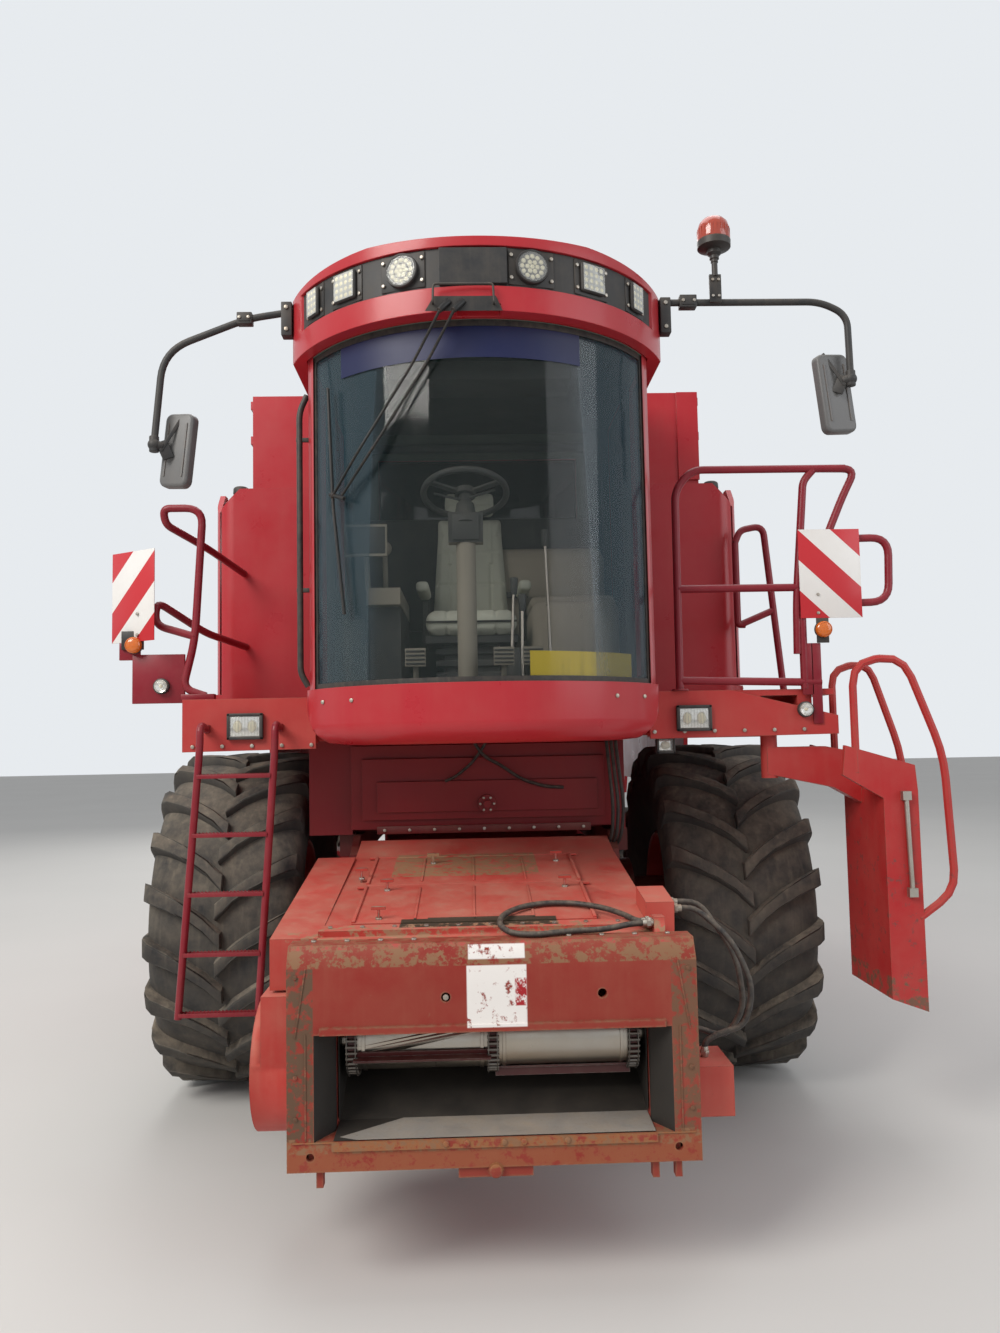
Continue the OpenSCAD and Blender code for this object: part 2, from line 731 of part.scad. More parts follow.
module rear_axle() placed() color(dark_red) {
    translate([0, wheelbase, 0]) difference() {
        union() {
            block([-kingpin_x, kingpin_x], [-62, 62], [580, 740]);
            both_sides() translate([kingpin_x, 0, 562]) cylinder(r = 64, h = 196);
            block([-150, 150], [-80, 80], [560, 760]);
        }
        both_sides() translate([kingpin_x, 0, 550]) cylinder(r = 46, h = 220);
        long_cylinder(0, -100, 100, 660, 31);
    }
}

// Steering knuckle for the side where X is positive.
module knuckle() {
    translate([0, wheelbase, 0]) {
        translate([kingpin_x, 0, 520]) cylinder(r = 45, h = 280);
        for (z = [520, 764]) {
            block([kingpin_x, kingpin_x + 105], [-58, 58], [z, z + 36]);
            translate([kingpin_x, 0, z]) cylinder(r = 58, h = 36);
        }
        block([kingpin_x + 76, kingpin_x + 105], [-58, 58], [520, 800]);
        cross_cylinder(kingpin_x + 100, rear_x - 40 - gap, 0, rear_r, 55);
        // steering arm
        block([kingpin_x - 60, kingpin_x + 60], [40, 240], [524, 550]);
    }
}

module knuckle_left() placed() color(dark_red) knuckle();
module knuckle_right() placed() color(dark_red) mirror([1, 0, 0]) knuckle();

// Section of a tyre without its lugs: radius and place across the tread.
module tyre_section(body_r, w, seat_r) {
    h = w / 2;
    wall = body_r - seat_r;
    polygon([
        [seat_r, -0.39 * w], [seat_r + 0.12 * wall, -0.42 * w], [seat_r + 0.45 * wall, -h + 8],
        [seat_r + 0.72 * wall, -h + 8], [body_r - 0.13 * wall, -0.47 * w], [body_r - 0.03 * wall, -0.36 * w],
        [body_r, -0.12 * w], [body_r, 0.12 * w],
        [body_r - 0.03 * wall, 0.36 * w], [body_r - 0.13 * wall, 0.47 * w],
        [seat_r + 0.72 * wall, h - 8], [seat_r + 0.45 * wall, h - 8], [seat_r + 0.12 * wall, 0.42 * w],
        [seat_r, 0.39 * w]
    ]);
}

// Stations along a lug: place across the tread, radius of its foot and tip, angle, half width
function lug_stations(r, w, body_r, seat_r) = let (wall = body_r - seat_r) [
    [-0.02 * w, body_r - 12, r, 0, 2.4],
    [0.20 * w, body_r - 14, r - 2, 9, 2.2],
    [0.44 * w, body_r - 0.16 * wall, r - 10, 15, 2.8],
    [0.497 * w, body_r - 0.30 * wall, body_r - 0.10 * wall, 16.5, 3.0]
];

function around(x, r, a) = [x, r * sin(a), r * cos(a)];

// One lug, a bent bar that rises from the tyre.
module lug(r, w, body_r, seat_r, angle) {
    s = lug_stations(r, w, body_r, seat_r);
    points = [
        for (q = s) each [
            around(q[0], q[1], angle + q[3] - q[4] - 0.6), around(q[0], q[1], angle + q[3] + q[4] + 0.6),
            around(q[0], q[2], angle + q[3] + q[4]), around(q[0], q[2], angle + q[3] - q[4])
        ]
    ];
    walls = [
        for (i = [0 : len(s) - 2])
            for (j = [0 : 3])
                let (a = 4 * i + j, b = 4 * i + (j + 1) % 4) each [[a, b + 4, b], [a, a + 4, b + 4]]
    ];
    last = 4 * (len(s) - 1);
    polyhedron(points, concat(
        [[0, 1, 2], [0, 2, 3]], walls, [[last, last + 2, last + 1], [last, last + 3, last + 2]]
    ));
}

// A tyre about the X axis, for the given number of lugs on each half.
module lugged_tyre(r, w, seat_r, count) {
    body_r = r - lug_h;
    rotate([0, 90, 0]) rotate_extrude($fn = 72) tyre_section(body_r, w, seat_r);
    pitch = 360 / count;
    for (i = [0 : count - 1]) {
        lug(r, w, body_r, seat_r, i * pitch);
        mirror([1, 0, 0]) lug(r, w, body_r, seat_r, (i + 0.5) * pitch);
    }
}

// A rim about the X axis. The outer side is where X is positive.
module rim(seat_r, w, hub_r, disc_x) {
    difference() {
        rotate([0, 90, 0]) rotate_extrude($fn = 64) polygon([
            [hub_r * 0.35, disc_x], [hub_r, disc_x], [seat_r * 0.55, disc_x + 6], [seat_r * 0.8, disc_x - 30],
            [seat_r - 18, disc_x - 30], [seat_r - 18, -0.38 * w], [seat_r - 10, -0.39 * w],
            [seat_r - gap, -0.38 * w], [seat_r - gap, 0.38 * w], [seat_r - 10, 0.39 * w],
            [seat_r - 18, 0.38 * w], [seat_r - 18, disc_x - 12], [seat_r * 0.8, disc_x - 12],
            [seat_r * 0.55, disc_x + 24], [hub_r, disc_x + 20], [hub_r, disc_x + 60],
            [hub_r * 0.35, disc_x + 60]
        ]);
        for (a = [0 : 45 : 359])
            rotate([a, 0, 0]) cross_cylinder(disc_x - 60, disc_x + 60, 0, seat_r * 0.67, seat_r * 0.07);
    }
}

module front_tyre_left() placed() color(rubber) translate([front_x, 0, front_r])
    lugged_tyre(front_r, front_tyre_w, front_rim_d / 2, lug_count);
module front_tyre_right() placed() color(rubber) translate([-front_x, 0, front_r]) mirror([1, 0, 0])
    lugged_tyre(front_r, front_tyre_w, front_rim_d / 2, lug_count);
module rear_tyre_left() placed() color(rubber) translate([rear_x, wheelbase, rear_r])
    lugged_tyre(rear_r, rear_tyre_w, rear_rim_d / 2, lug_count - 2);
module rear_tyre_right() placed() color(rubber) translate([-rear_x, wheelbase, rear_r]) mirror([1, 0, 0])
    lugged_tyre(rear_r, rear_tyre_w, rear_rim_d / 2, lug_count - 2);

module front_rim_left() placed() color(red) translate([front_x, 0, front_r])
    rim(front_rim_d / 2, front_tyre_w, 160, -60 + gap);
module front_rim_right() placed() color(red) translate([-front_x, 0, front_r]) mirror([1, 0, 0])
    rim(front_rim_d / 2, front_tyre_w, 160, -60 + gap);
module rear_rim_left() placed() color(red) translate([rear_x, wheelbase, rear_r])
    rim(rear_rim_d / 2, rear_tyre_w, 110, -40);
module rear_rim_right() placed() color(red) translate([-rear_x, wheelbase, rear_r]) mirror([1, 0, 0])
    rim(rear_rim_d / 2, rear_tyre_w, 110, -40);

// -------- deck, rails and ladders

module operator_deck() placed() color(red) {
    front = deck_front_y;
    back = shield_front_y - gap;
    // front beam with its lower flange
    difference() {
        union() {
            from_front(front, front + 22) polygon([
                [-deck_right_x, deck_low_z], [deck_left_x, deck_low_z + 30], [deck_left_x, deck_low_z + 120],
                [1200, deck_top_z], [-deck_right_x, deck_top_z]
            ]);
            block([-deck_right_x, deck_left_x], [front, front + 90], [deck_low_z + 32, deck_low_z + 50]);
        }
        // room for the cab's apron
        block([-cab_half - 20, cab_half + 20], [front - 1, front + 91], [deck_low_z - 10, deck_top_z + 10]);
    }
    // floors at both sides of the cab
    block([cab_half + 40, deck_left_x - 10], [front + 20, back], [deck_top_z - 30, deck_top_z]);
    block([-deck_right_x + 20, -cab_half - 40], [front + 20, back], [deck_top_z - 30, deck_top_z]);
    // members from the body out to the beam
    both_sides() {
        block([cab_half + 44, cab_half + 110], [front + 20, back], [deck_top_z - 170, deck_top_z - 28]);
        block([1280, 1340], [front + 20, back], [deck_top_z - 100, deck_top_z - 28]);
        block([body_half + gap, 1340], [back - 110, back - 50], [deck_top_z - 170, deck_top_z - 90]);
    }
    block([-cab_half - 100, cab_half + 100], [front + 110, front + 190], [deck_low_z + 40, 2000 - gap]);
    // seat of the boarding ladder's pivot
    block([1330, 1470], [front + 20, -1090], [deck_low_z + 32, deck_low_z + 50]);
    block([1330, 1345], [front + 20, -1090], [deck_low_z + 32, deck_top_z - 28]);
    // end plate and steps' bracket at the left
    block([deck_left_x - 190, deck_left_x - 120], [front + 20, back - 40],
        [deck_top_z - 150, deck_top_z - 28]);
    // mudguard lip above the left tyre
    block([1000, deck_left_x - 130], [back - 60, back], [deck_low_z + 20, deck_top_z - 28]);
}

module deck_rail_left() placed() color(red) {
    y = deck_front_y + 6;
    // front rail
    bent_tube([[950, y, deck_top_z + 1], [956, y, 3113], [1040, y, 3213], [1801, y, 3213]], tube_r);
    bent_tube([[1530, y, 2300], [1536, y, 2562], [1590, y, 3150], [1640, y, 3205]], tube_r);
    bent_tube([[955, y, 2625], [1545, y, 2625]], tube_r);
    bent_tube([[1640, y, 3213], [1860, y + 10, 3213], [1790, y + 10, 3080], [1560, y, 2560],
        [1560, y, 2130]], tube_r);
    bent_tube([[1692, y + 10, 2862], [2006, y + 10, 2868], [1995, y + 10, 2550], [1560, y + 10, 2540]],
        tube_r);
    bent_tube([[955, y, 2180], [1640, y, 2160]], tube_r);
    // plates that carry the warning board
    block([1592, 1640], [deck_front_y - 9, deck_front_y - gap], [1960, 2350]);
    block([1545, 1600], [deck_front_y - 9, deck_front_y + 3], [2100, 2350]);
    block([1560, 1830], [deck_front_y - 16 + gap, y + 6], [2620, 2660]);
    // rear rail
    yr = -520;
    bent_tube([[1440, yr, 2990], [1470, yr, 3060], [1600, yr, 3085], [1685, yr, deck_top_z + 10]], tube_r);
    bent_tube([[1465, yr, 2530], [1645, yr, 2605]], tube_r);
    bent_tube([[1440, yr, 2990], [1440, yr, 2525], [1480, yr, 2525]], tube_r);
    block([1650, deck_left_x - 12], [yr - 30, yr + 30], [deck_top_z + gap, deck_top_z + 12]);
}

module deck_rail_right() placed() color(red) {
    y = deck_front_y + 100;
    bent_tube([[-1345, y, deck_top_z + 20], [-1455, y, 2190], [-1398, y, 2425], [-1360, y, 3076],
        [-1555, y, 3076], [-1548, y + 20, 3000], [-1400, y + 200, 2920], [-1310, -470, 2860]], tube_r);
    bent_tube([[-1395, y, 2440], [-1591, y, 2500], [-1591, y + 20, 2620], [-1400, y + 200, 2480],
        [-1300, -470, 2450]], tube_r);
    // plate with the marker lamp
    block([-1696, -1445], [y - 10, y + 8], [2118, 2356]);
    block([-1460, -1300], [y - 22, y + 22], [deck_top_z + gap, deck_top_z + 30]);
    block([-1760, -1660], [y - 8, y + 8], [2330, 2415]);
}

module service_ladder() placed() color(dark_red) {
    y = deck_front_y - 130;
    both = [[-1311, -1407], [-967, -1047]];
    for (s = both) {
        bent_tube([[s[0], deck_front_y - 22, 1990], [s[0], y, 2010], [s[0] - 1, y, 1900], [s[1], y, 680]],
            ladder_tube_r, 70);
    }
    for (i = [0 : rung_count - 1]) {
        z = 1769 - i * 1070 / (rung_count - 1);
        x = (1975 - z) * 96 / 1295;
        block([-1311 - x + 5, -967 - x * 0.83 - 5], [y - 22, y + 22], [z - 10, z + 10]);
    }
    // hooks on the deck's beam
    for (s = both) block([s[0] - 14, s[0] + 14], [deck_front_y - 30, deck_front_y - gap], [1970, 2008]);
}

// Boarding ladder with its arm, handrails and steps, at rest beside the deck.
module boarding_ladder() placed() color(red) {
    front = -1450;
    back = -960;
    px = 1400;
    py = -1150;
    // pivot and arm
    translate([px, py, 1700]) cylinder(r = 40, h = deck_low_z + 32 - gap - 1700);
    from_front(py - 40, py + 40) polygon([
        [px - 20, 1720], [1700, 1650], [1860, 1560], [1960, 1620], [1960, 1790], [1667, 1850], [px - 20, 1850]
    ]);
    // stiles
    for (y = [front, back - 30]) {
        from_front(y, y + 30) polygon([
            [1667, 1856], [1989, 1759], [1998, 1640], [2000, 640], [1835, 700], [1835, 1610], [1650, 1720]
        ]);
    }
    // closed back facing the wheel
    block([1835, 1843], [front + 28, back - 28], [700, 1640]);
    // steps
    for (i = [0 : step_count - 1]) {
        z = 720 + i * 920 / (step_count - 1);
        difference() {
            block([1840, 1992], [front + 28, back - 28], [z, z + 30]);
            for (y = [front + 60 : 95 : front + 350]) block([1870, 1965], [y, y + 50], [z - 1, z + 31]);
        }
    }
    // handrails at both ends
    for (e = [[front + 15, 1720, 1960], [back - 15, 1790, 1980]]) {
        bent_tube([[e[1], e[0], 1730], [e[1], e[0], 2240], [e[2], e[0], 2270], [2132, e[0], 1802],
            [2158, e[0], 1180], [1985, e[0], 1060]], tube_r, 110);
    }
    // latch strut on the front plate
    bar([1935, front - 14, 1620], [1945, front - 14, 1180], 11);
    block([1915, 1955], [front - 28, front], [1600, 1640]);
    block([1925, 1965], [front - 28, front], [1160, 1200]);
}

// -------- cab

// Outline of the cab seen from above, drawn in by the given thickness.
module cab_outline(inset) {
    intersection() {
        translate([-cab_half + inset, cab_front_y - 10])
            square([2 * (cab_half - inset), cab_rear_y - inset - cab_front_y + 10]);
        union() {
            translate([0, cab_arc_y]) circle(r = cab_arc_r - inset, $fn = 96);
            translate([-cab_half, -1400]) square([2 * cab_half, 2000]);
        }
    }
}

module cab_shell() placed() color(dark_red) {
    door_low = deck_top_z + 30;
    door_top = 3640;
    difference() {
        from_above(cab_low_z, cab_top_z) cab_outline(0);
        // room inside
        from_above(cab_low_z + 50, cab_top_z - 50) cab_outline(cab_wall);
        // windshield opening
        block([-cab_half + 30, cab_half - 30], [cab_front_y - 20, -1500], [door_low - 15, door_top + 20]);
        // fixed side windows and the doorway
        for (x = [-cab_half - 10, cab_half - 60]) {
            block([x, x + 70], [-1490, -1260], [door_low + 40, door_top - 30]);
        }
        block([-cab_half - 10, -cab_half + 60], [-1190, -560], [2700, door_top - 30]);
        block([cab_half - 60, cab_half + 10], [-1208, -507], [door_low - 2, door_top + 8]);
        // rear window
        block([-560, 560], [cab_rear_y - 60, cab_rear_y + 10], [2850, 3500]);
    }
    // ears of the door's hinges
    for (z = [2280, 3430]) {
        translate([door_hinge_x, -510, z - gap]) cylinder(r = 12, h = 20);
        block([cab_half - 1, door_hinge_x + 6], [-507, -480], [z - gap, z + 20 - gap]);
    }
    // step beside the seat
    block([-cab_half + cab_wall, -560], [-1250, cab_rear_y - cab_wall], [cab_low_z + 50, 2500]);
}

module cab_apron() placed() color(red) {
    top = cab_low_z - gap;
    intersection() {
        // rolled in at its foot
        hull() {
            for (a = [0 : 15 : 90]) translate([0, 0, 1900 + apron_roll_r * (1 - sin(a))])
                linear_extrude(1) cab_outline(apron_roll_r * (1 - cos(a)) - 12);
            from_above(top + 100, top + 110) cab_outline(-12);
        }
        from_side(-900, 900) polygon([
            [-2110, 2160], [-2110, 1880], [-1930, 1880], [-1500, 1920], [-1150, 2000],
            [-1150, top], [-1500, top], [-1500, 2160]
        ]);
        // rounded at its ends
        from_front(-2120, -700) hull() {
            both_sides() translate([cab_half - 158, 2070]) circle(r = 170);
            block_2d([-cab_half - 12, cab_half + 12], [2090, 2200]);
        }
        union() {
            difference() {
                block([-900, 900], [-2100, -1100], [1800, 2160]);
                from_above(top, 2200) cab_outline(-1);
            }
        }
    }
    block([-560, 560], [-1150, -760], [2000, top]);
}

// Outline of the roof seen from above, drawn in by the given thickness.
module roof_outline(inset) {
    intersection() {
        translate([-roof_half + inset, visor_front_y])
            square([2 * (roof_half - inset), cab_rear_y - inset - visor_front_y]);
        union() {
            translate([0, visor_arc_y]) circle(r = visor_r - inset, $fn = 96);
            translate([-roof_half, -1450]) square([2 * roof_half, 2000]);
        }
    }
}

// Roof's section seen from the front
module roof_crown(drop) {
    polygon([
        for (i = [-10 : 10]) let (x = i * 90) [x, roof_top_z - drop - 42 * (i / 10) ^ 2],
        [900, cab_top_z + gap - drop], [-900, cab_top_z + gap - drop]
    ]);
}

module cab_roof() placed() color(red) {
    difference() {
        intersection() {
            from_above(cab_top_z - 60, roof_top_z + 10) roof_outline(0);
            from_front(visor_front_y - 10, cab_rear_y + 10) union() {
                roof_crown(0);
                block_2d([-900, 900], [cab_top_z - 60, cab_top_z + 10]);
            }
            // falls a little to the front and to the rear
            from_side(-900, 900) polygon([
                [visor_front_y - 10, cab_top_z - 61], [visor_front_y - 10, roof_top_z - 24],
                [visor_front_y + 260, roof_top_z + 1], [cab_rear_y - 500, roof_top_z + 1],
                [cab_rear_y + 10, roof_top_z - 70], [cab_rear_y + 10, cab_top_z - 61]
            ]);
        }
        // recess for the band of lamps
        difference() {
            from_above(3766, 3935) roof_outline(-5);
            from_above(3765, 3936) roof_outline(55);
            block([-900, 900], [-1615, 0], [3700, 4000]);
        }
        // seat on the cab's frame
        from_above(cab_top_z - 70, cab_top_z + gap) cab_outline(-6);
        // notch of the lower lip
        block([-90, 90], [visor_front_y - 10, visor_front_y + 60], [3640, 3690]);
    }
    // hatch on the roof
    block([-300, 300], [-1300, -760], [roof_top_z - 10, roof_top_z + 25]);
}

module block_2d(x, z) {
    translate([x[0], z[0]]) square([x[1] - x[0], z[1] - z[0]]);
}

module lamp_band() placed() color(black) {
    difference() {
        from_above(3766 + gap, 3935 - gap) roof_outline(12);
        from_above(3760, 3940) roof_outline(55 - gap);
        block([-900, 900], [-1615 - gap, 0], [3700, 4000]);
    }
    // bare plate in the middle
    block([-160, 118], [visor_front_y - 2, visor_front_y + 30], [3775, 3925]);
}

// Lamps of the roof band: angle round the curve, half the width, and 1 for a round one.
roof_lamps = [[-52, 45, 0], [-38, 62, 0], [-20, 72, 1], [14, 72, 1], [32, 62, 0], [50, 45, 0]];

module lamps() placed() color(steel) {
    for (l = roof_lamps) {
        translate([0, visor_arc_y, 3852]) rotate([0, 0, l[0]]) translate([0, -visor_r + 12 - gap, 0]) {
            if (l[2] == 1) long_cylinder(0, -24, 0, 0, l[1]);
            else block([-l[1], l[1]], [-26, 0], [-62, 62]);
        }
    }
    // headlamps in the beam
    for (x = [-1130, 1010]) block([x - 85, x + 85], [deck_front_y - 28, deck_front_y - gap], [1935, 2060]);
    // marker lamps
    for (p = [[-1551, deck_front_y + 90 - gap, 2200], [1552, deck_front_y - gap, 2030]]) {
        long_cylinder(p[0], p[1] - 45, p[1], p[2], 38);
    }
    // work lamp under the deck
    block([835, 925], [deck_front_y + 30, deck_front_y + 80], [1830, deck_low_z + 32 - gap]);
}

module cab_glass() placed() color([0.2, 0.3, 0.3]) {
    low = deck_top_z + 15 + gap;
    top = 3660 - gap;
    // windshield
    intersection() {
        from_above(low, top) difference() {
            cab_outline(10);
            cab_outline(10 + glass_t);
        }
        block([-cab_half + 31, cab_half - 31], [cab_front_y - 20, -1501], [low, top]);
    }
    for (x = [-cab_half + 10, cab_half - 10 - glass_t]) {
        block([x, x + glass_t], [-1490 + gap, -1260 - gap], [deck_top_z + 70 + gap, 3610 - gap]);
    }
    block([-cab_half + 10, -cab_half + 10 + glass_t], [-1190 + gap, -560 - gap], [2700 + gap, 3610 - gap]);
    block([-560 + gap, 560 - gap], [cab_rear_y - 20, cab_rear_y - 20 + glass_t], [2850 + gap, 3500 - gap]);
}

door_y = [-1200, -515];
door_z = [2166, 3640];

module cab_door() placed() color(black) {
    x = [cab_half - 36, cab_half];
    difference() {
        block(x, door_y, door_z);
        block([x[0] - 1, x[1] + 1], [door_y[0] + 50, door_y[1] - 50], [door_z[0] + 60, door_z[1] - 50]);
    }
    block([x[0] + 4, x[1] - 4], [door_y[0] + 40, door_y[1] - 40], [2740, 2790]);
    // handle and hinges
    block([x[1], x[1] + 28], [-1170, -1130], [2700, 2860]);
    for (z = [2300, 3450]) translate([door_hinge_x, -510, z]) cylinder(r = 12, h = 90);
    for (z = [2320, 3470]) block([cab_half, door_hinge_x], [-560, -512], [z, z + 50]);
}

module door_glass() placed() color([0.2, 0.3, 0.3]) {
    for (z = [[door_z[0] + 60, 2740], [2790, door_z[1] - 50]]) {
        block([cab_half - 22, cab_half - 22 + glass_t], [door_y[0] + 50 + gap, door_y[1] - 50 - gap],
            [z[0] + gap, z[1] - gap]);
    }
}

// -------- inside the cab

module seat_base() placed() color(black) {
    floor_z = cab_low_z + 50 + gap;
    block([-290, 190], [-1100, -700], [floor_z, floor_z + 40]);
    for (i = [0 : 3]) block([-230, 130], [-1060, -740], [floor_z + 70 + 60 * i, floor_z + 100 + 60 * i]);
    block([-190, 90], [-1030, -770], [floor_z + 40, floor_z + 300]);
    block([-280, 180], [-1120, -680], [floor_z + 300, floor_z + 340]);
}

module seat_cushions() placed() color([0.55, 0.5, 0.42]) {
    z = cab_low_z + 50 + 340 + 3 * gap;
    hull() {
        for (x = [-250, 150]) for (y = [-1150, -740])
            translate([x, y, z]) cylinder(r = 40, h = 90, $fn = 24);
        for (x = [-230, 130]) for (y = [-1130, -740])
            translate([x, y, z]) cylinder(r = 30, h = 120, $fn = 24);
    }
    hull() {
        for (x = [-240, 140]) {
            translate([x, -700, z + 10]) cylinder(r = 45, h = 60, $fn = 24);
            translate([x * 0.8 - 10, -620, z + 640]) cylinder(r = 40, h = 40, $fn = 24);
        }
    }
    hull() {
        for (x = [-150, 50]) translate([x, -612, z + 700]) cylinder(r = 40, h = 130, $fn = 24);
    }
    for (x = [-110, 10]) translate([x, -615, z + 660]) cylinder(r = 8, h = 60);
    // armrests
    for (x = [-330, 190]) block([x, x + 70], [-1050, -680], [z + 230, z + 290]);
    block([-330, 260], [-690, -660], [z + 240, z + 280]);
}

module cab_controls() placed() color(black) {
    floor_z = cab_low_z + 50 + gap;
    block([-170, 30], [-1620, -1440], [floor_z, floor_z + 30]);
    bar([-70, -1530, floor_z + 20], [-70, -1440, 2960], 45);
    bar([-70, -1440, 2940], [-70, -1410, 3060], 30);
    block([-150, 10], [-1500, -1430], [2820, 2960]);
    translate([-70, -1405, 3070]) rotate([-20, 0, 0]) {
        rotate_extrude($fn = 48) translate([195, 0]) circle(r = 15, $fn = 12);
        translate([0, 0, -15]) cylinder(r = 50, h = 30);
        for (a = [90, 210, 330]) rotate([0, 0, a]) block([30, 190], [-14, 14], [-6, 6]);
    }
    // pedals
    for (x = [-300, 90, 220]) {
        bar([x, -1560, floor_z + 10], [x, -1640, floor_z + 170], 12);
        block([x - 20, x + 20], [-1585, -1535], [floor_z, floor_z + 15]);
        block([x - 45, x + 45], [-1660, -1630], [floor_z + 150, floor_z + 230]);
    }
    // console at the right with its lever and monitor
    block([-540, -390], [-1250, -620], [floor_z, 2560]);
    block([-545, -385], [-1330, -620], [2560, 2640]);
    bar([-465, -1180, 2630], [-465, -1210, 2830], 12);
    translate([-465, -1214, 2850]) sphere(r = 34);
    bar([-540, -1290, 2630], [-540, -1388, 2860], 12);
    block([-640, -440], [-1400, -1375], [2780, 2930]);
}

// -------- fittings outside the cab

module wiper() placed() color(black) {
    block([-130, 110], [visor_front_y - 14, visor_front_y - gap], [3655, 3735]);
    for (x = [-110, -50]) {
        bent_tube([[x, visor_front_y - 10, 3670], [x - 150, -2010, 3380], [x - 500, -1850, 2960]], 7, 60, 6);
    }
    bent_tube([[-640, -1790, 3290], [-610, -1795, 2900], [-570, -1830, 2450]], 9, 60, 6);
    bar([-616, -1796, 2985], [-530, -1860, 2955], 9);
}

module vent_tube() placed() color(black) {
    bent_tube([[-796, -1480, 3520], [-830, -1485, 3440], [-830, -1485, 2230], [-796, -1480, 2170]], 14, 60);
    for (z = [2600, 3300]) block([-832, -cab_half - gap], [-1490, -1475], [z, z + 20]);
}

module mirror_right() placed() color(black) {
    y = -1500;
    block([-905, -roof_half - gap], [y - 30, y + 30], [3790, 3950]);
    bent_tube([[-890, y, 3907], [-1067, y, 3880], [-1450, y, 3730], [-1490, y, 3300]], 16, 130);
    block([-1110, -1040], [y - 25, y + 25], [3850, 3905]);
    translate([-1490, y, 3290]) sphere(r = 30);
    mirror_head(-1388, y + 26, 3272, 148, 340, 12);
}

module mirror_left() placed() color(black) {
    y = -1500;
    block([roof_half + gap, 905], [y - 30, y + 30], [3790, 3960]);
    bent_tube([[890, y, 3944], [1620, y, 3944], [1745, y, 3880], [1750, y, 3580]], 16, 130);
    block([950, 1030], [y - 28, y + 28], [3915, 3975]);
    translate([1750, y, 3570]) sphere(r = 30);
    mirror_head(1675, y + 30, 3514, 170, 376, -14);
}

// Mirror head about its middle, turned by the given angle.
module mirror_head(x, y, z, w, h, turn) {
    translate([x, y, z]) rotate([0, 0, turn]) {
        hull() {
            for (a = [-1, 1]) for (b = [-1, 1]) {
                long_cylinder(a * (w / 2 - 30), -6, 6, b * (h / 2 - 30), 30, $fn = 24);
                long_cylinder(a * (w / 2 - 40), 28, 40, b * (h / 2 - 50), 24, $fn = 24);
            }
        }
    }
}

module beacon() placed() color([0.7, 0.2, 0.1]) {
    y = -1500;
    block([1090, 1146], [y - 32, y - 16.2], [3933, 4068]);
    bar([1118, y - 25, 4060], [1118, y - 25, 4150], 14);
    translate([1118, y - 25, 4140]) cylinder(r = 34, h = 52);
    translate([1118, y - 25, 4190]) cylinder(r = 78, h = 34);
    translate([1118, y - 25, 4222]) cylinder(r = 74, h = 70);
    translate([1118, y - 25, 4290]) cylinder(r1 = 74, r2 = 40, h = 52);
}

module warning_boards() placed() color([0.9, 0.9, 0.88]) {
    front = deck_front_y - 16;
    block([1545, 1847], [front - 6, front], [2470, 2905]);
    long_cylinder(1650, front - 40, front, 2414, 42);
    block([1620, 1680], [front - 5, front + 4], [2350, 2475]);
    y = deck_front_y + 86;
    translate([-1690, y, 2640]) rotate([0, 0, -32]) block([-150, 150], [-6, 0], [-222, 222]);
    block([-1745, -1640], [y - 10, y + 6 - gap], [2380, 2470]);
    long_cylinder(-1682, y - 46, y - 6, 2400, 42);
}

// -------- feeder house

feeder_slope = atan2(165, 1350);

// Puts a shape on the feeder's sloping top, at a place across and along it.
module on_feeder(x, y) {
    translate([x, y, 1185 + (y + 2350) * tan(feeder_slope)]) rotate([feeder_slope, 0, 0]) children();
}

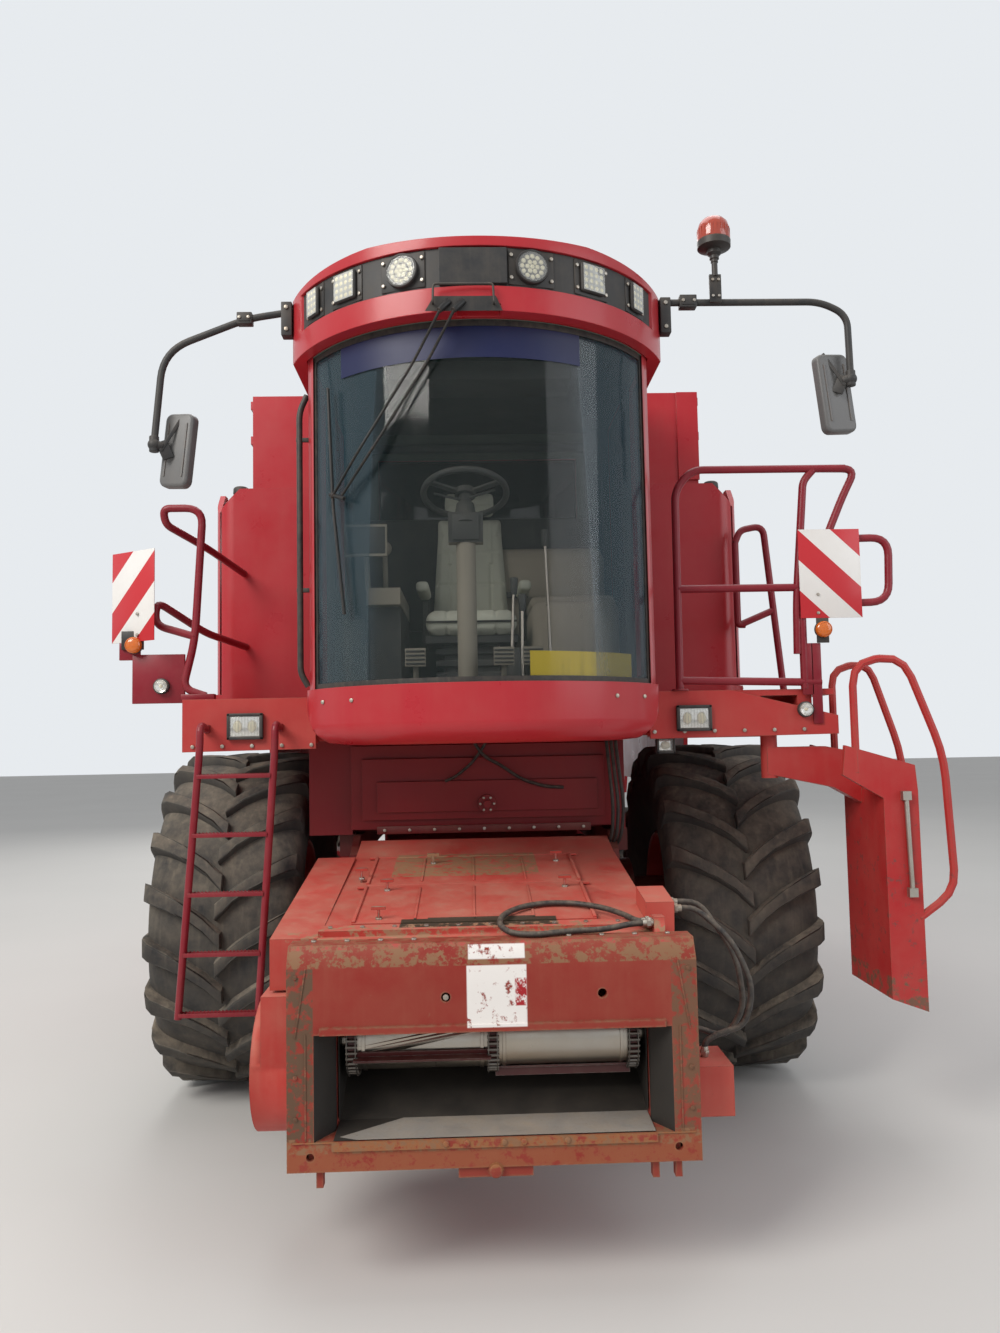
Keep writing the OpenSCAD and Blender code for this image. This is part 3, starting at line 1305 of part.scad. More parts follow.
module feeder_house() placed() color(red) {
    difference() {
        union() {
            from_side(-mouth_half - 75, mouth_half + 75) polygon([
                [face_back_y, 470], [face_back_y, 1187], [-1000, 1350], [pivot_y, pivot_z + 110],
                [pivot_y + 60, pivot_z - 60], [pivot_y - 90, pivot_z - 118]
            ]);
            cross_cylinder(-mouth_half - 75, mouth_half + 75, pivot_y, pivot_z, 110);
        }
        // throat
        from_side(-mouth_half, mouth_half) polygon([
            [face_back_y - 10, mouth_low_z], [face_back_y + 40, mouth_low_z + 5], [pivot_y - 110, 1200],
            [pivot_y + 150, 1250], [pivot_y + 150, 1360], [pivot_y - 60, 1365], [-1000, 1320],
            [face_back_y - 10, 1155]
        ]);
    }
    // stiffeners along the floor
    for (x = [-400, 0, 400]) from_side(x - 12, x + 12) polygon([
        [face_back_y, 440], [pivot_y - 160, 1105], [pivot_y - 150, 1150], [face_back_y, 475]
    ]);
    // covers on the top and their handles
    on_feeder(-60, -2150) block([-470, 470], [0, 520], [-5, 14]);
    on_feeder(-60, -1600) block([-470, 470], [0, 480], [-5, 14]);
    on_feeder(0, -2260) block([-640, 640], [0, 70], [-5, 22]);
    on_feeder(-60, -2110) block([-180, 230], [0, 26], [10, 18]);
    for (p = [[-430, -2100], [-430, -1700], [330, -1700], [-250, -1250], [330, -1250], [-560, -1500]]) {
        on_feeder(p[0], p[1]) {
            block([-5, 5], [-5, 5], [-5, 62]);
            block([-28, 28], [-6, 6], [52, 64]);
        }
    }
    // drive box at the right
    from_side(-817, -mouth_half - 70) polygon([
        [face_back_y + 60, 1010], [face_back_y + 60, 1195], [-1080, 1352], [-1080, 1150]
    ]);
    block([-840, -mouth_half - 70], [face_back_y + 10, face_back_y + 420], [700, 1000]);
    cross_cylinder(-880, -mouth_half - 70, face_back_y + 250, 700, 245);
    // box and couplers at the left
    block([mouth_half + 70, mouth_half + 135], [face_back_y + 20, face_back_y + 330], [560, 1130]);
    block([mouth_half + 70, 880], [face_back_y + 20, face_back_y + 260], [527, 706]);
    on_feeder(600, -2150) block([0, 110], [0, 230], [-60, 70]);
    // fittings of the hose on the cover
    block([600, 640], [-2326, -2262], [1180, 1252]);
    // eyes that the pins of the lift rods pass through
    both_sides() difference() {
        feeder_eyes();
        cross_cylinder(lift_x - 40, lift_x + 40, lift_eye[0], lift_eye[1], pin_r + pin_play);
    }
}

module feeder_eyes() {
    for (x = [lift_x - 26, lift_x + 26]) {
        block([x - 5, x + 5], [lift_eye[0] - 50, lift_eye[0] + 50], [lift_eye[1], 1000]);
        cross_cylinder(x - 5, x + 5, lift_eye[0], lift_eye[1], 50);
    }
    block([mouth_half + 70, lift_x + 31], [lift_eye[0] - 50, lift_eye[0] + 50], [930, 1010]);
}

module feeder_face() placed() color([0.5, 0.16, 0.1]) {
    back = face_back_y - gap;
    difference() {
        from_side(-face_half, face_half) polygon([
            [face_y, face_low_z], [face_y, face_top_z], [face_y + 40, face_top_z + 70],
            [back, face_top_z + 70], [back, face_low_z]
        ]);
        // mouth between jambs that slant in to the throat
        translate([0, 0, mouth_low_z]) linear_extrude(mouth_top_z - mouth_low_z) polygon([
            [-mouth_half - jamb_slant, face_y - 1], [mouth_half + jamb_slant, face_y - 1],
            [mouth_half, face_y + 100], [mouth_half, back + 1],
            [-mouth_half, back + 1], [-mouth_half, face_y + 100]
        ]);
        // folded channel seen from behind
        block([-face_half + feeder_wall, face_half - feeder_wall], [face_y + feeder_wall, back - feeder_wall],
            [mouth_top_z + feeder_wall, face_top_z]);
        both_sides() block([mouth_half + jamb_slant + feeder_wall, face_half - feeder_wall],
            [face_y + feeder_wall, back - feeder_wall], [face_low_z + feeder_wall, mouth_top_z]);
        // locating holes
        for (x = [-165, 385]) long_cylinder(x, face_y - 1, face_y + feeder_wall + 1, 1020, 16);
        // seats of the latch hooks
        for (x = [-640, 640]) long_cylinder(x, face_y - 1, face_y + feeder_wall + 1, 490, 14);
    }
    // lip over the mouth and the sill's wear strip
    block([-mouth_half - 40, mouth_half + 40], [face_y - 8, face_y], [mouth_top_z, mouth_top_z + 25]);
    block([-mouth_half, mouth_half], [face_y - 8, face_y], [mouth_low_z - 30, mouth_low_z]);
    // pivot bracket and pin below
    block([-130, 130], [face_y + 10, face_y + 130], [face_low_z - 36, face_low_z]);
    long_cylinder(0, face_y - 4, face_y + 116, face_low_z - 10, 26);
    for (x = [-610, 560, 640]) {
        block([x - 12, x + 12], [face_y + 20, face_y + 60], [face_low_z - 60, face_low_z]);
    }
}

drum = [-2215, 815];
tail = [-940, 1254];
tail_r = 30;
run_l = norm(tail - drum);
run_a = atan2(tail[1] - drum[1], tail[0] - drum[0]);
lean = acos((drum_r - tail_r) / run_l);

function polar(c, r, a) = [c[0] + r * cos(a), c[1] + r * sin(a)];

// Outline of the conveyor's chain, the given distance outside the drums.
function chain_loop(t) = concat(
    [for (i = [0 : 10]) polar(drum, drum_r + t, run_a + lean + (360 - 2 * lean) * i / 10)],
    [for (i = [0 : 5]) polar(tail, tail_r + t, run_a - lean + 2 * lean * i / 5)]
);

// A slat on the chain: place along the loop from 0 to 1, and its two ends across.
module slat(u, x0, x1) {
    upper = run_a + lean;
    lower = run_a - lean;
    turn = u < 0.45 ? upper : (u < 0.55 ? upper + (360 - 2 * lean) * (u - 0.45) / 0.1 : lower);
    c = u < 0.55 ? drum : tail;
    a = u < 0.45 ? tail + (drum - tail) * (u / 0.45)
        : (u < 0.55 ? drum : drum + (tail - drum) * (u - 0.55) / 0.45);
    r = u < 0.45 ? tail_r + (drum_r - tail_r) * u / 0.45
        : (u < 0.55 ? drum_r : drum_r + (tail_r - drum_r) * (u - 0.55) / 0.45);
    translate([0, a[0], a[1]]) rotate([turn, 0, 0]) translate([0, r, 0]) {
        block([x0, x1], [8, 38], [-4, 4]);
        block([x0, x1], [6, 12], [-22, 4]);
    }
}

module feeder_conveyor() placed() color(steel) {
    cross_cylinder(-530, 530, drum[0], drum[1], drum_r + 3);
    cross_cylinder(-mouth_half + gap, mouth_half - gap, drum[0], drum[1], 30);
    cross_cylinder(-530, 530, tail[0], tail[1], tail_r + 4);
    cross_cylinder(-mouth_half + gap, mouth_half - gap, tail[0], tail[1], 20);
    for (x = [-512, 0, 512]) {
        difference() {
            from_side(x - 13, x + 13) polygon(chain_loop(14));
            from_side(x - 14, x + 14) polygon(chain_loop(0));
        }
    }
    for (i = [0 : slat_count - 1]) {
        slat(i / slat_count, -505, -8);
        slat((i + 0.5) / slat_count, 8, 505);
    }
}

// -------- lift cylinders

module lift_barrel() {
    translate([lift_x, lift_base[0], lift_base[1]]) rotate([-lift_a, 0, 0]) {
        difference() {
            union() {
                cross_cylinder(-18, 18, 0, 0, 42);
                long_cylinder(0, -90, -30, 0, 17);
                long_cylinder(0, -930, -64, 0, 45);
                long_cylinder(0, -940, -890, 0, 51);
            }
            cross_cylinder(-25, 25, 0, 0, 25);
            long_cylinder(0, -1060, -640, 0, 30.4);
        }
    }
}

module lift_rod() {
    translate([lift_x, lift_base[0], lift_base[1]]) rotate([-lift_a, 0, 0]) {
        long_cylinder(0, 64 - lift_l, -720, 0, 30);
        long_cylinder(0, 30 - lift_l, -720, 0, 17);
        translate([0, -lift_l, 0]) {
            cross_cylinder(-18, 18, 0, 0, 42);
            cross_cylinder(-36, 36, 0, 0, pin_r);
        }
    }
}

module lift_barrels() placed() color(steel) both_sides() lift_barrel();
module lift_rods() placed() color(steel) both_sides() lift_rod();

// -------- hoses

// Routes of the hoses beside the feeder and on its cover
hose_upper_route = [[710.3, -2100, 1245], [800, -2100, 1245], [930, -2160, 1130], [1000, -2180, 950],
    [960, -2180, 810], [860, -2190, 790], [800, -2195, 760], [800, -2195, 706.3]];
hose_lower_route = [[710.4, -2010, 1255], [835, -2010, 1255], [960, -2100, 1060], [980, -2110, 860],
    [900, -2120, 750], [780, -2135, 800], [700.3, -2135, 800]];

hose_top_route = [[599.6, -2310, 1230], [520, -2310, 1228], [417, -2345, 1216], [275, -2350, 1213.5],
    [160, -2398, 1213], [72, -2368, 1214], [32, -2290, 1228], [38, -2200, 1242], [75, -2110, 1249],
    [135, -2035, 1255], [225, -1988, 1258], [341, -2000, 1257], [445, -2080, 1250], [505, -2185, 1242],
    [545, -2278, 1231], [599.6, -2278, 1230]];

module hose_top() placed() color(black) swept(rounded(hose_top_route, 120, 3), 11, 8);
module hose_upper() placed() color(black) swept(rounded(hose_upper_route, 120, 3), 11, 8);
module hose_lower() placed() color(black) swept(rounded(hose_lower_route, 120, 3), 11, 8);

// Whether a node is asked for
function shown(name) = node == "all" || node == name;

if (shown("main_frame")) main_frame();
if (shown("front_axle")) front_axle();
if (shown("threshing_body")) threshing_body();
if (shown("grain_tank")) grain_tank();
if (shown("side_shield_left")) side_shield_left();
if (shown("side_shield_right")) side_shield_right();
if (shown("side_door_left")) side_door_left();
if (shown("engine_hood")) engine_hood();
if (shown("engine_block")) engine_block();
if (shown("exhaust_stack")) exhaust_stack();
if (shown("straw_hood")) straw_hood();
if (shown("straw_chopper")) straw_chopper();
if (shown("chopper_rotor")) chopper_rotor();
if (shown("rear_axle")) rear_axle();
if (shown("elevators")) elevators();
if (shown("auger_riser")) auger_riser();
if (shown("unload_auger")) unload_auger();
if (shown("fuel_tank")) fuel_tank();
if (shown("operator_deck")) operator_deck();
if (shown("deck_rail_left")) deck_rail_left();
if (shown("deck_rail_right")) deck_rail_right();
if (shown("service_ladder")) service_ladder();
if (shown("boarding_ladder")) boarding_ladder();
if (shown("cab_shell")) cab_shell();
if (shown("cab_apron")) cab_apron();
if (shown("cab_roof")) cab_roof();
if (shown("lamp_band")) lamp_band();
if (shown("lamps")) lamps();
if (shown("cab_glass")) cab_glass();
if (shown("cab_door")) cab_door();
if (shown("door_glass")) door_glass();
if (shown("seat_base")) seat_base();
if (shown("seat_cushions")) seat_cushions();
if (shown("cab_controls")) cab_controls();
if (shown("wiper")) wiper();
if (shown("vent_tube")) vent_tube();
if (shown("mirror_left")) mirror_left();
if (shown("mirror_right")) mirror_right();
if (shown("beacon")) beacon();
if (shown("warning_boards")) warning_boards();
if (shown("rotary_screen")) rotary_screen();
if (shown("feeder_house")) feeder_house();
if (shown("feeder_face")) feeder_face();
if (shown("feeder_conveyor")) feeder_conveyor();
if (shown("lift_barrels")) lift_barrels();
if (shown("lift_rods")) lift_rods();
if (shown("front_tyre_left")) front_tyre_left();
if (shown("front_tyre_right")) front_tyre_right();
if (shown("front_rim_left")) front_rim_left();
if (shown("front_rim_right")) front_rim_right();
if (shown("rear_tyre_left")) rear_tyre_left();
if (shown("rear_tyre_right")) rear_tyre_right();
if (shown("rear_rim_left")) rear_rim_left();
if (shown("rear_rim_right")) rear_rim_right();
if (shown("knuckle_left")) knuckle_left();
if (shown("knuckle_right")) knuckle_right();
if (shown("hose_upper")) hose_upper();
if (shown("hose_lower")) hose_lower();
if (shown("hose_top")) hose_top();
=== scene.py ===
"""Dresses the combine harvester: paint, glass, lamps, cab, feeder, rails, tyres, hoses, light and camera."""
import json
import math

import bmesh
import bpy
from bpy.props import FloatProperty, FloatVectorProperty, IntProperty, PointerProperty
from mathutils import Matrix, Vector

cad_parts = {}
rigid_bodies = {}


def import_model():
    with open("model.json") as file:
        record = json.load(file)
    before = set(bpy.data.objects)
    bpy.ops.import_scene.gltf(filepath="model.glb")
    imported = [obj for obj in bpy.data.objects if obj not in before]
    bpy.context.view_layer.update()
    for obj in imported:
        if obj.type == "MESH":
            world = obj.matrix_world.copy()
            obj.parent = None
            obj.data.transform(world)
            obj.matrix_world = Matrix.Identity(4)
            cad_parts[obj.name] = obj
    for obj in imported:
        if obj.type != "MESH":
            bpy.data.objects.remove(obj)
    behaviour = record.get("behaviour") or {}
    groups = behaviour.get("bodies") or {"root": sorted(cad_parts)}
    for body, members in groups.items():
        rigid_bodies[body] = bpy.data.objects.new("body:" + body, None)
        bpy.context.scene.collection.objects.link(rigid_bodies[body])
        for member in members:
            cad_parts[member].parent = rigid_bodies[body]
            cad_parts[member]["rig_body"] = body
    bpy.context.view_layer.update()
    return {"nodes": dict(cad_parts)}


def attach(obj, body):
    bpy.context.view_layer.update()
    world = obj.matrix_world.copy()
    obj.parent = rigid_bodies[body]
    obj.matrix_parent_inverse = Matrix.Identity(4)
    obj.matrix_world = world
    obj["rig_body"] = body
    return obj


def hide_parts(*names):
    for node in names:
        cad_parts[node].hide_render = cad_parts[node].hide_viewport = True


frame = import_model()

bl_info = {
    "name": "Combine harvester dressing",
    "version": (1, 0, 0),
    "blender": (4, 5, 0),
    "location": "View3D > Sidebar > Harvester",
    "description": "Adds the finishes and fittings of a combine harvester round its solid model",
    "category": "Object",
}

NODES = frame["nodes"]
# Place of the point on the ground under the front axle, in millimetres, from which all sizes here count
AXLE_X, AXLE_Y = 178.0, 1890.0
# Finishes and shader groups by their short names, filled by make_finishes
FINISH = {}
GROUPS = {}


# Places and meshes

def at(x, y, z):
    """A point given in millimetres from under the front axle, in the model's metres."""
    return Vector(((x - AXLE_X) / 1000.0, (y - AXLE_Y) / 1000.0, z / 1000.0))


def millimetres(p):
    """A point of the model, in millimetres from under the front axle."""
    return p.x * 1000 + AXLE_X, p.y * 1000 + AXLE_Y, p.z * 1000


def between(a, b, share):
    """The point at a share of the way from one to another."""
    return tuple(p + (q - p) * share for p, q in zip(a, b))


def rotation(degrees, axis):
    """A turn round one of the three axes."""
    return Matrix.Rotation(math.radians(degrees), 4, axis)


def circle(count, r):
    """Points spread evenly round a circle, as pairs."""
    angles = [math.tau * i / count for i in range(count)]
    return [(r * math.cos(a), r * math.sin(a)) for a in angles]


def cube(bm, size):
    """A box of the given millimetres about the origin."""
    made = bmesh.ops.create_cube(bm, size=1.0)["verts"]
    bmesh.ops.scale(bm, vec=Vector(size) / 1000.0, verts=made)
    return made


def edges_of(verts):
    """All edges at some vertices."""
    return list({e for v in verts for e in v.link_edges})


def only(kind, geometry):
    """The vertices or faces among what an operator hands back."""
    return [g for g in geometry if isinstance(g, kind)]


def bend_of(edge):
    """The angle at an edge in degrees, 0 where it has no two faces."""
    return math.degrees(edge.calc_face_angle(0.0)) if edge.is_manifold else 0.0


def bevel_edges(bm, edges, offset, segments=2, **more):
    """Rounds edges by an offset in metres."""
    return bmesh.ops.bevel(bm, geom=edges, offset=offset, offset_type="OFFSET", segments=segments, profile=0.5,
                           affect="EDGES", material=-1, **more)


def mesh_of(bm, name):
    """A finished mesh with smooth faces."""
    mesh = bpy.data.meshes.new(name)
    bm.to_mesh(mesh)
    bm.free()
    for polygon in mesh.polygons:
        polygon.use_smooth = True
    return mesh


def placed(name, data):
    """An object of the scene that holds a mesh, a lamp or a camera."""
    made = bpy.data.objects.new(name, data)
    bpy.context.scene.collection.objects.link(made)
    return made


def island(vert):
    """All vertices joined to one."""
    found, waiting = {vert}, [vert]
    while waiting:
        v = waiting.pop()
        fresh = [o for o in (e.other_vert(v) for e in v.link_edges) if o not in found]
        found.update(fresh)
        waiting += fresh
    return list(found)


def rounded(corners, r, steps=6):
    """Corner points with each bend replaced by a short curve."""
    p = [Vector(c) for c in corners]
    out = [p[0]]
    for back, here, on in zip(p, p[1:], p[2:]):
        k = min(r, 0.45 * (back - here).length, 0.45 * (on - here).length)
        a, c = here + (back - here).normalized() * k, here + (on - here).normalized() * k
        for s in range(steps + 1):
            t = s / steps
            out.append(a * (1 - t) ** 2 + here * 2 * t * (1 - t) + c * t * t)
    out.append(p[-1])
    return out


class Shape:
    """A mesh in the making. Sizes are millimetres from under the front axle."""

    def __init__(self):
        self.bm = bmesh.new()

    def round_off(self, made, edges, offset, segments=2):
        """Rounds some edges of what was just made."""
        if offset <= 0:
            return made
        new = bevel_edges(self.bm, edges, offset / 1000.0, segments)
        return list({v for f in new["faces"] for v in f.verts} | {v for v in made if v.is_valid})

    def block(self, x, y, z, bevel=0.0, segments=2):
        """A box between two values on each axis."""
        made = cube(self.bm, (x[1] - x[0], y[1] - y[0], z[1] - z[0]))
        bmesh.ops.translate(self.bm, vec=at(sum(x) / 2, sum(y) / 2, sum(z) / 2), verts=made)
        return self.round_off(made, edges_of(made), bevel, segments)

    def slab(self, middle, size, turn=(0, 0, 0), bevel=0.0, segments=2):
        """A box of the given size about a middle, turned by three angles in degrees."""
        made = cube(self.bm, size)
        made = self.round_off(made, edges_of(made), bevel, segments)
        spin = rotation(turn[2], "Z") @ rotation(turn[1], "Y") @ rotation(turn[0], "X")
        bmesh.ops.transform(self.bm, matrix=Matrix.Translation(at(*middle)) @ spin, verts=made)
        return made

    def rod(self, a, b, r, r2=None, segments=20, bevel=0.0):
        """A round bar or cone between two points."""
        a, b = at(*a), at(*b)
        made = bmesh.ops.create_cone(
            self.bm, cap_ends=True, segments=segments, radius1=r / 1000.0,
            radius2=(r if r2 is None else r2) / 1000.0, depth=(b - a).length)["verts"]
        rim = [e for e in edges_of(made) if abs(e.verts[0].co.z - e.verts[1].co.z) < 1e-6]
        made = self.round_off(made, rim, bevel)
        turn = (b - a).to_track_quat("Z", "Y").to_matrix().to_4x4()
        bmesh.ops.transform(self.bm, matrix=Matrix.Translation((a + b) / 2) @ turn, verts=made)
        return made

    def bolt(self, x, y, z, r, out, sides=6, bevel=1.0):
        """A bolt head or disc that stands out to the front."""
        return self.rod((x, y, z), (x, y - out, z), r, segments=sides, bevel=bevel)

    def ball(self, middle, size, u=20, v=12):
        """An ellipsoid with the given radii."""
        made = bmesh.ops.create_uvsphere(self.bm, u_segments=u, v_segments=v, radius=1.0)["verts"]
        bmesh.ops.scale(self.bm, vec=Vector(size) / 1000.0, verts=made)
        bmesh.ops.translate(self.bm, vec=at(*middle), verts=made)
        return made

    def plate(self, corners, thickness, way):
        """A flat sheet through its corner points, given a thickness in millimetres along a direction."""
        face = self.bm.faces.new([self.bm.verts.new(at(*c)) for c in corners])
        grown = bmesh.ops.extrude_face_region(self.bm, geom=[face])["geom"]
        bmesh.ops.translate(self.bm, vec=Vector(way) * thickness / 1000.0, verts=only(bmesh.types.BMVert, grown))

    def turned(self, profile, centre, axis="Z", steps=48):
        """A surface of revolution: profile holds (radius, height) pairs, spun about an axis."""
        line = [self.bm.verts.new((r / 1000.0, 0, h / 1000.0)) for r, h in profile]
        edges = [self.bm.edges.new(pair) for pair in zip(line, line[1:])]
        bmesh.ops.spin(self.bm, geom=line + edges, cent=(0, 0, 0), axis=(0, 0, 1), dvec=(0, 0, 0),
                       angle=math.tau, steps=steps, use_merge=True)
        made = island(line[0])
        bmesh.ops.remove_doubles(self.bm, verts=made, dist=1e-5)
        made = [v for v in made if v.is_valid]
        turn = rotation(*{"Z": (0, "Z"), "X": (90, "Y"), "-Y": (90, "X")}[axis])
        bmesh.ops.transform(self.bm, matrix=Matrix.Translation(at(*centre)) @ turn, verts=made)
        return made

    def tube(self, corners, r, bend=90.0, sides=14, steps=6):
        """A round tube along corner points whose bends are rounded."""
        points = [at(*p) for p in rounded(corners, bend, steps)]
        ways = [(points[min(i + 1, len(points) - 1)] - points[max(i - 1, 0)]).normalized()
                for i in range(len(points))]
        turn = ways[0].to_track_quat("Z", "Y")
        here = Matrix.Translation(points[0]) @ turn.to_matrix().to_4x4()
        made = bmesh.ops.create_circle(self.bm, cap_ends=True, segments=sides, radius=r / 1000.0,
                                       matrix=here)["verts"]
        face = made[0].link_faces[0]
        for before, way, point in zip(ways, ways[1:], points[1:]):
            turn = before.rotation_difference(way) @ turn
            there = Matrix.Translation(point) @ turn.to_matrix().to_4x4()
            face = only(bmesh.types.BMFace, bmesh.ops.extrude_face_region(self.bm, geom=[face])["geom"])[0]
            bmesh.ops.transform(self.bm, matrix=there @ here.inverted(), verts=face.verts[:])
            here = there

    def arc(self, r, z, centre, start, end, steps):
        """Sweeps a rectangle, between two radii and two heights, round an upright axis between two angles.
        The angle counts from straight ahead towards the machine's left."""
        middle = at(centre[0], centre[1], 0)
        ring = [self.bm.verts.new(Vector((middle.x, middle.y - r[i] / 1000.0, z[j] / 1000.0)))
                for i, j in ((0, 0), (1, 0), (1, 1), (0, 1))]
        face = self.bm.faces.new(ring)
        bmesh.ops.rotate(self.bm, cent=middle, matrix=rotation(start, "Z"), verts=ring)
        bmesh.ops.spin(self.bm, geom=[face] + face.edges[:] + ring, cent=middle, axis=(0, 0, 1), dvec=(0, 0, 0),
                       angle=math.radians(end - start), steps=steps, use_duplicate=False)

    def swing(self, made, centre, degrees):
        """Turns what was made round an upright axis."""
        bmesh.ops.rotate(self.bm, cent=at(centre[0], centre[1], 0), verts=made, matrix=rotation(degrees, "Z"))

    def done(self, name, finish, body="chassis", stands_for=None, slot=None, smooth=40.0):
        """Turns the mesh into a piece that rides on a body and may take the place of a solid."""
        bmesh.ops.recalc_face_normals(self.bm, faces=self.bm.faces[:])
        mesh = mesh_of(self.bm, name)
        mesh.materials.append(FINISH[finish])
        mesh.set_sharp_from_angle(angle=math.radians(smooth))
        piece = placed(name, mesh)
        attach(piece, body)
        if stands_for:
            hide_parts(stands_for)
        return piece


# Finishes

# Depth of the finishes' relief and softness of a patch's edge, in metres
RELIEF, PATCH_EDGE = 0.002, 0.002


def add(tree, kind, links=None, **settings):
    """Adds a shader node, sets it up and feeds its sockets with values or other sockets."""
    made = tree.nodes.new(kind)
    for key, value in settings.items():
        setattr(made, key, value)
    for key, value in (links or {}).items():
        socket = made.inputs[key]
        if isinstance(value, bpy.types.NodeSocket):
            tree.links.new(value, socket)
        else:
            socket.default_value = value
    return made


def noise(tree, place, scale, detail=4.0, rough=0.55):
    """Fractal noise from 0 to 1."""
    return add(tree, "ShaderNodeTexNoise", {"Vector": place, "Scale": scale, "Detail": detail,
                                            "Roughness": rough}).outputs["Fac"]


def span(tree, value, low, high, to_low=0.0, to_high=1.0):
    """Maps a value between two limits, held inside them."""
    return add(tree, "ShaderNodeMapRange", {"Value": value, "From Min": low, "From Max": high,
                                            "To Min": to_low, "To Max": to_high}).outputs["Result"]


def maths(tree, what, a, b, clamp=False):
    """One step of arithmetic."""
    return add(tree, "ShaderNodeMath", {0: a, 1: b}, operation=what, use_clamp=clamp).outputs[0]


def times(tree, a, b, clamp=False):
    return maths(tree, "MULTIPLY", a, b, clamp)


def plus(tree, a, b, clamp=False):
    return maths(tree, "ADD", a, b, clamp)


def blend_colour(tree, share, a, b):
    """A mix of two colours."""
    return add(tree, "ShaderNodeMix", {0: share, 6: a, 7: b}, data_type="RGBA").outputs[2]


def place_in(tree):
    """The place on the object, in metres."""
    return add(tree, "ShaderNodeTexCoord").outputs["Object"]


def parts_of(tree, vector):
    """The three parts of a vector, by their letters."""
    return add(tree, "ShaderNodeSeparateXYZ", {0: vector}).outputs


def stretched(tree, place, across, down):
    """The place, scaled so that noise on it runs in upright streaks."""
    return add(tree, "ShaderNodeMapping", {"Vector": place, "Scale": (across, across, down)}).outputs[0]


def within(tree, value, low, high, edge):
    """1 inside a band of values, falling to 0 over a soft edge."""
    return times(tree, span(tree, value, low - edge, low + edge), span(tree, value, high - edge, high + edge, 1.0, 0.0))


def new_group(name, inputs, outputs):
    """An empty shader group, with its inside and outside sockets."""
    group = bpy.data.node_groups.new(name, "ShaderNodeTree")
    for label, kind, value in inputs:
        group.interface.new_socket(name=label, in_out="INPUT", socket_type=kind).default_value = value
    for label, kind in outputs:
        group.interface.new_socket(name=label, in_out="OUTPUT", socket_type=kind)
    return group, group.nodes.new("NodeGroupInput").outputs, group.nodes.new("NodeGroupOutput").inputs


def new_material(name):
    """An empty material, with its nodes and its shader."""
    material = bpy.data.materials.new(name)
    material.use_nodes = True
    return material, material.node_tree, material.node_tree.nodes["Principled BSDF"]


def make_weathering():
    """Fading, dust, worn edges and rust over a colour."""
    tint, amount = "NodeSocketColor", "NodeSocketFloat"
    tree, given, out = new_group("weathering", [
        ("Colour", tint, (0.5, 0.5, 0.5, 1)), ("Roughness", amount, 0.5),
        ("Fade", amount, 0.3), ("Fade colour", tint, (0.6, 0.3, 0.3, 1)),
        ("Dust", amount, 0.4), ("Dust colour", tint, (0.42, 0.34, 0.25, 1)),
        ("Edge wear", amount, 0.4), ("Edge colour", tint, (0.2, 0.12, 0.08, 1)),
        ("Rust", amount, 0.1), ("Size", amount, 1.0), ("Edge width", amount, 0.006),
    ], [("Colour", tint), ("Roughness", amount), ("Height", amount)])
    true_place = place_in(tree)
    place = add(tree, "ShaderNodeVectorMath", {0: true_place, "Scale": given["Size"]}, operation="SCALE").outputs[0]
    normal = add(tree, "ShaderNodeNewGeometry").outputs["Normal"]
    up = parts_of(tree, normal)["Z"]
    broad = noise(tree, place, 0.9, 5.0, 0.6)
    middle = noise(tree, place, 5.0, 6.0, 0.65)
    fine = noise(tree, place, 42.0, 5.0, 0.7)
    streaks = noise(tree, stretched(tree, place, 9.0, 0.7), 2.2, 4.0, 0.6)
    # sun-bleached areas
    fade = plus(tree, times(tree, span(tree, broad, 0.38, 0.68), given["Fade"]),
                times(tree, span(tree, up, 0.3, 1.0, 0, 0.5), given["Fade"]), True)
    colour = blend_colour(tree, fade, given["Colour"], given["Fade colour"])
    # dust that settles on what faces up, and dirt low down
    lie = span(tree, up, -0.2, 0.95, 0.22, 1.0)
    dust = times(tree, lie, plus(tree, span(tree, middle, 0.32, 0.72), span(tree, streaks, 0.5, 0.8, 0, 0.5)))
    low = span(tree, parts_of(tree, true_place)["Z"], 0.2, 2.3, 1.35, 0.75)
    dust = maths(tree, "MINIMUM", times(tree, times(tree, dust, low), given["Dust"], True), 0.92)
    colour = blend_colour(tree, dust, colour, given["Dust colour"])
    # worn edges, found where a rounded normal leaves the flat one, and chips
    soft = add(tree, "ShaderNodeBevel", {"Radius": given["Edge width"]}, samples=4).outputs[0]
    same = add(tree, "ShaderNodeVectorMath", {0: soft, 1: normal}, operation="DOT_PRODUCT").outputs["Value"]
    bend = maths(tree, "SUBTRACT", 1.0, same)
    ragged = times(tree, span(tree, bend, 0.015, 0.12), span(tree, fine, 0.36, 0.56))
    wear = times(tree, ragged, given["Edge wear"], True)
    chips = times(tree, span(tree, noise(tree, place, 24.0, 7.0, 0.72), 0.66, 0.7), given["Rust"], True)
    bare = maths(tree, "MAXIMUM", wear, chips)
    rough = plus(tree, given["Roughness"], times(tree, dust, 0.45))
    rough = plus(tree, rough, times(tree, maths(tree, "SUBTRACT", middle, 0.5), 0.18))
    for key, value in (("Colour", blend_colour(tree, bare, colour, given["Edge colour"])),
                       ("Roughness", plus(tree, rough, times(tree, bare, 0.25), True)),
                       ("Height", maths(tree, "SUBTRACT", times(tree, fine, 0.25), bare))):
        tree.links.new(value, out[key])
    return tree


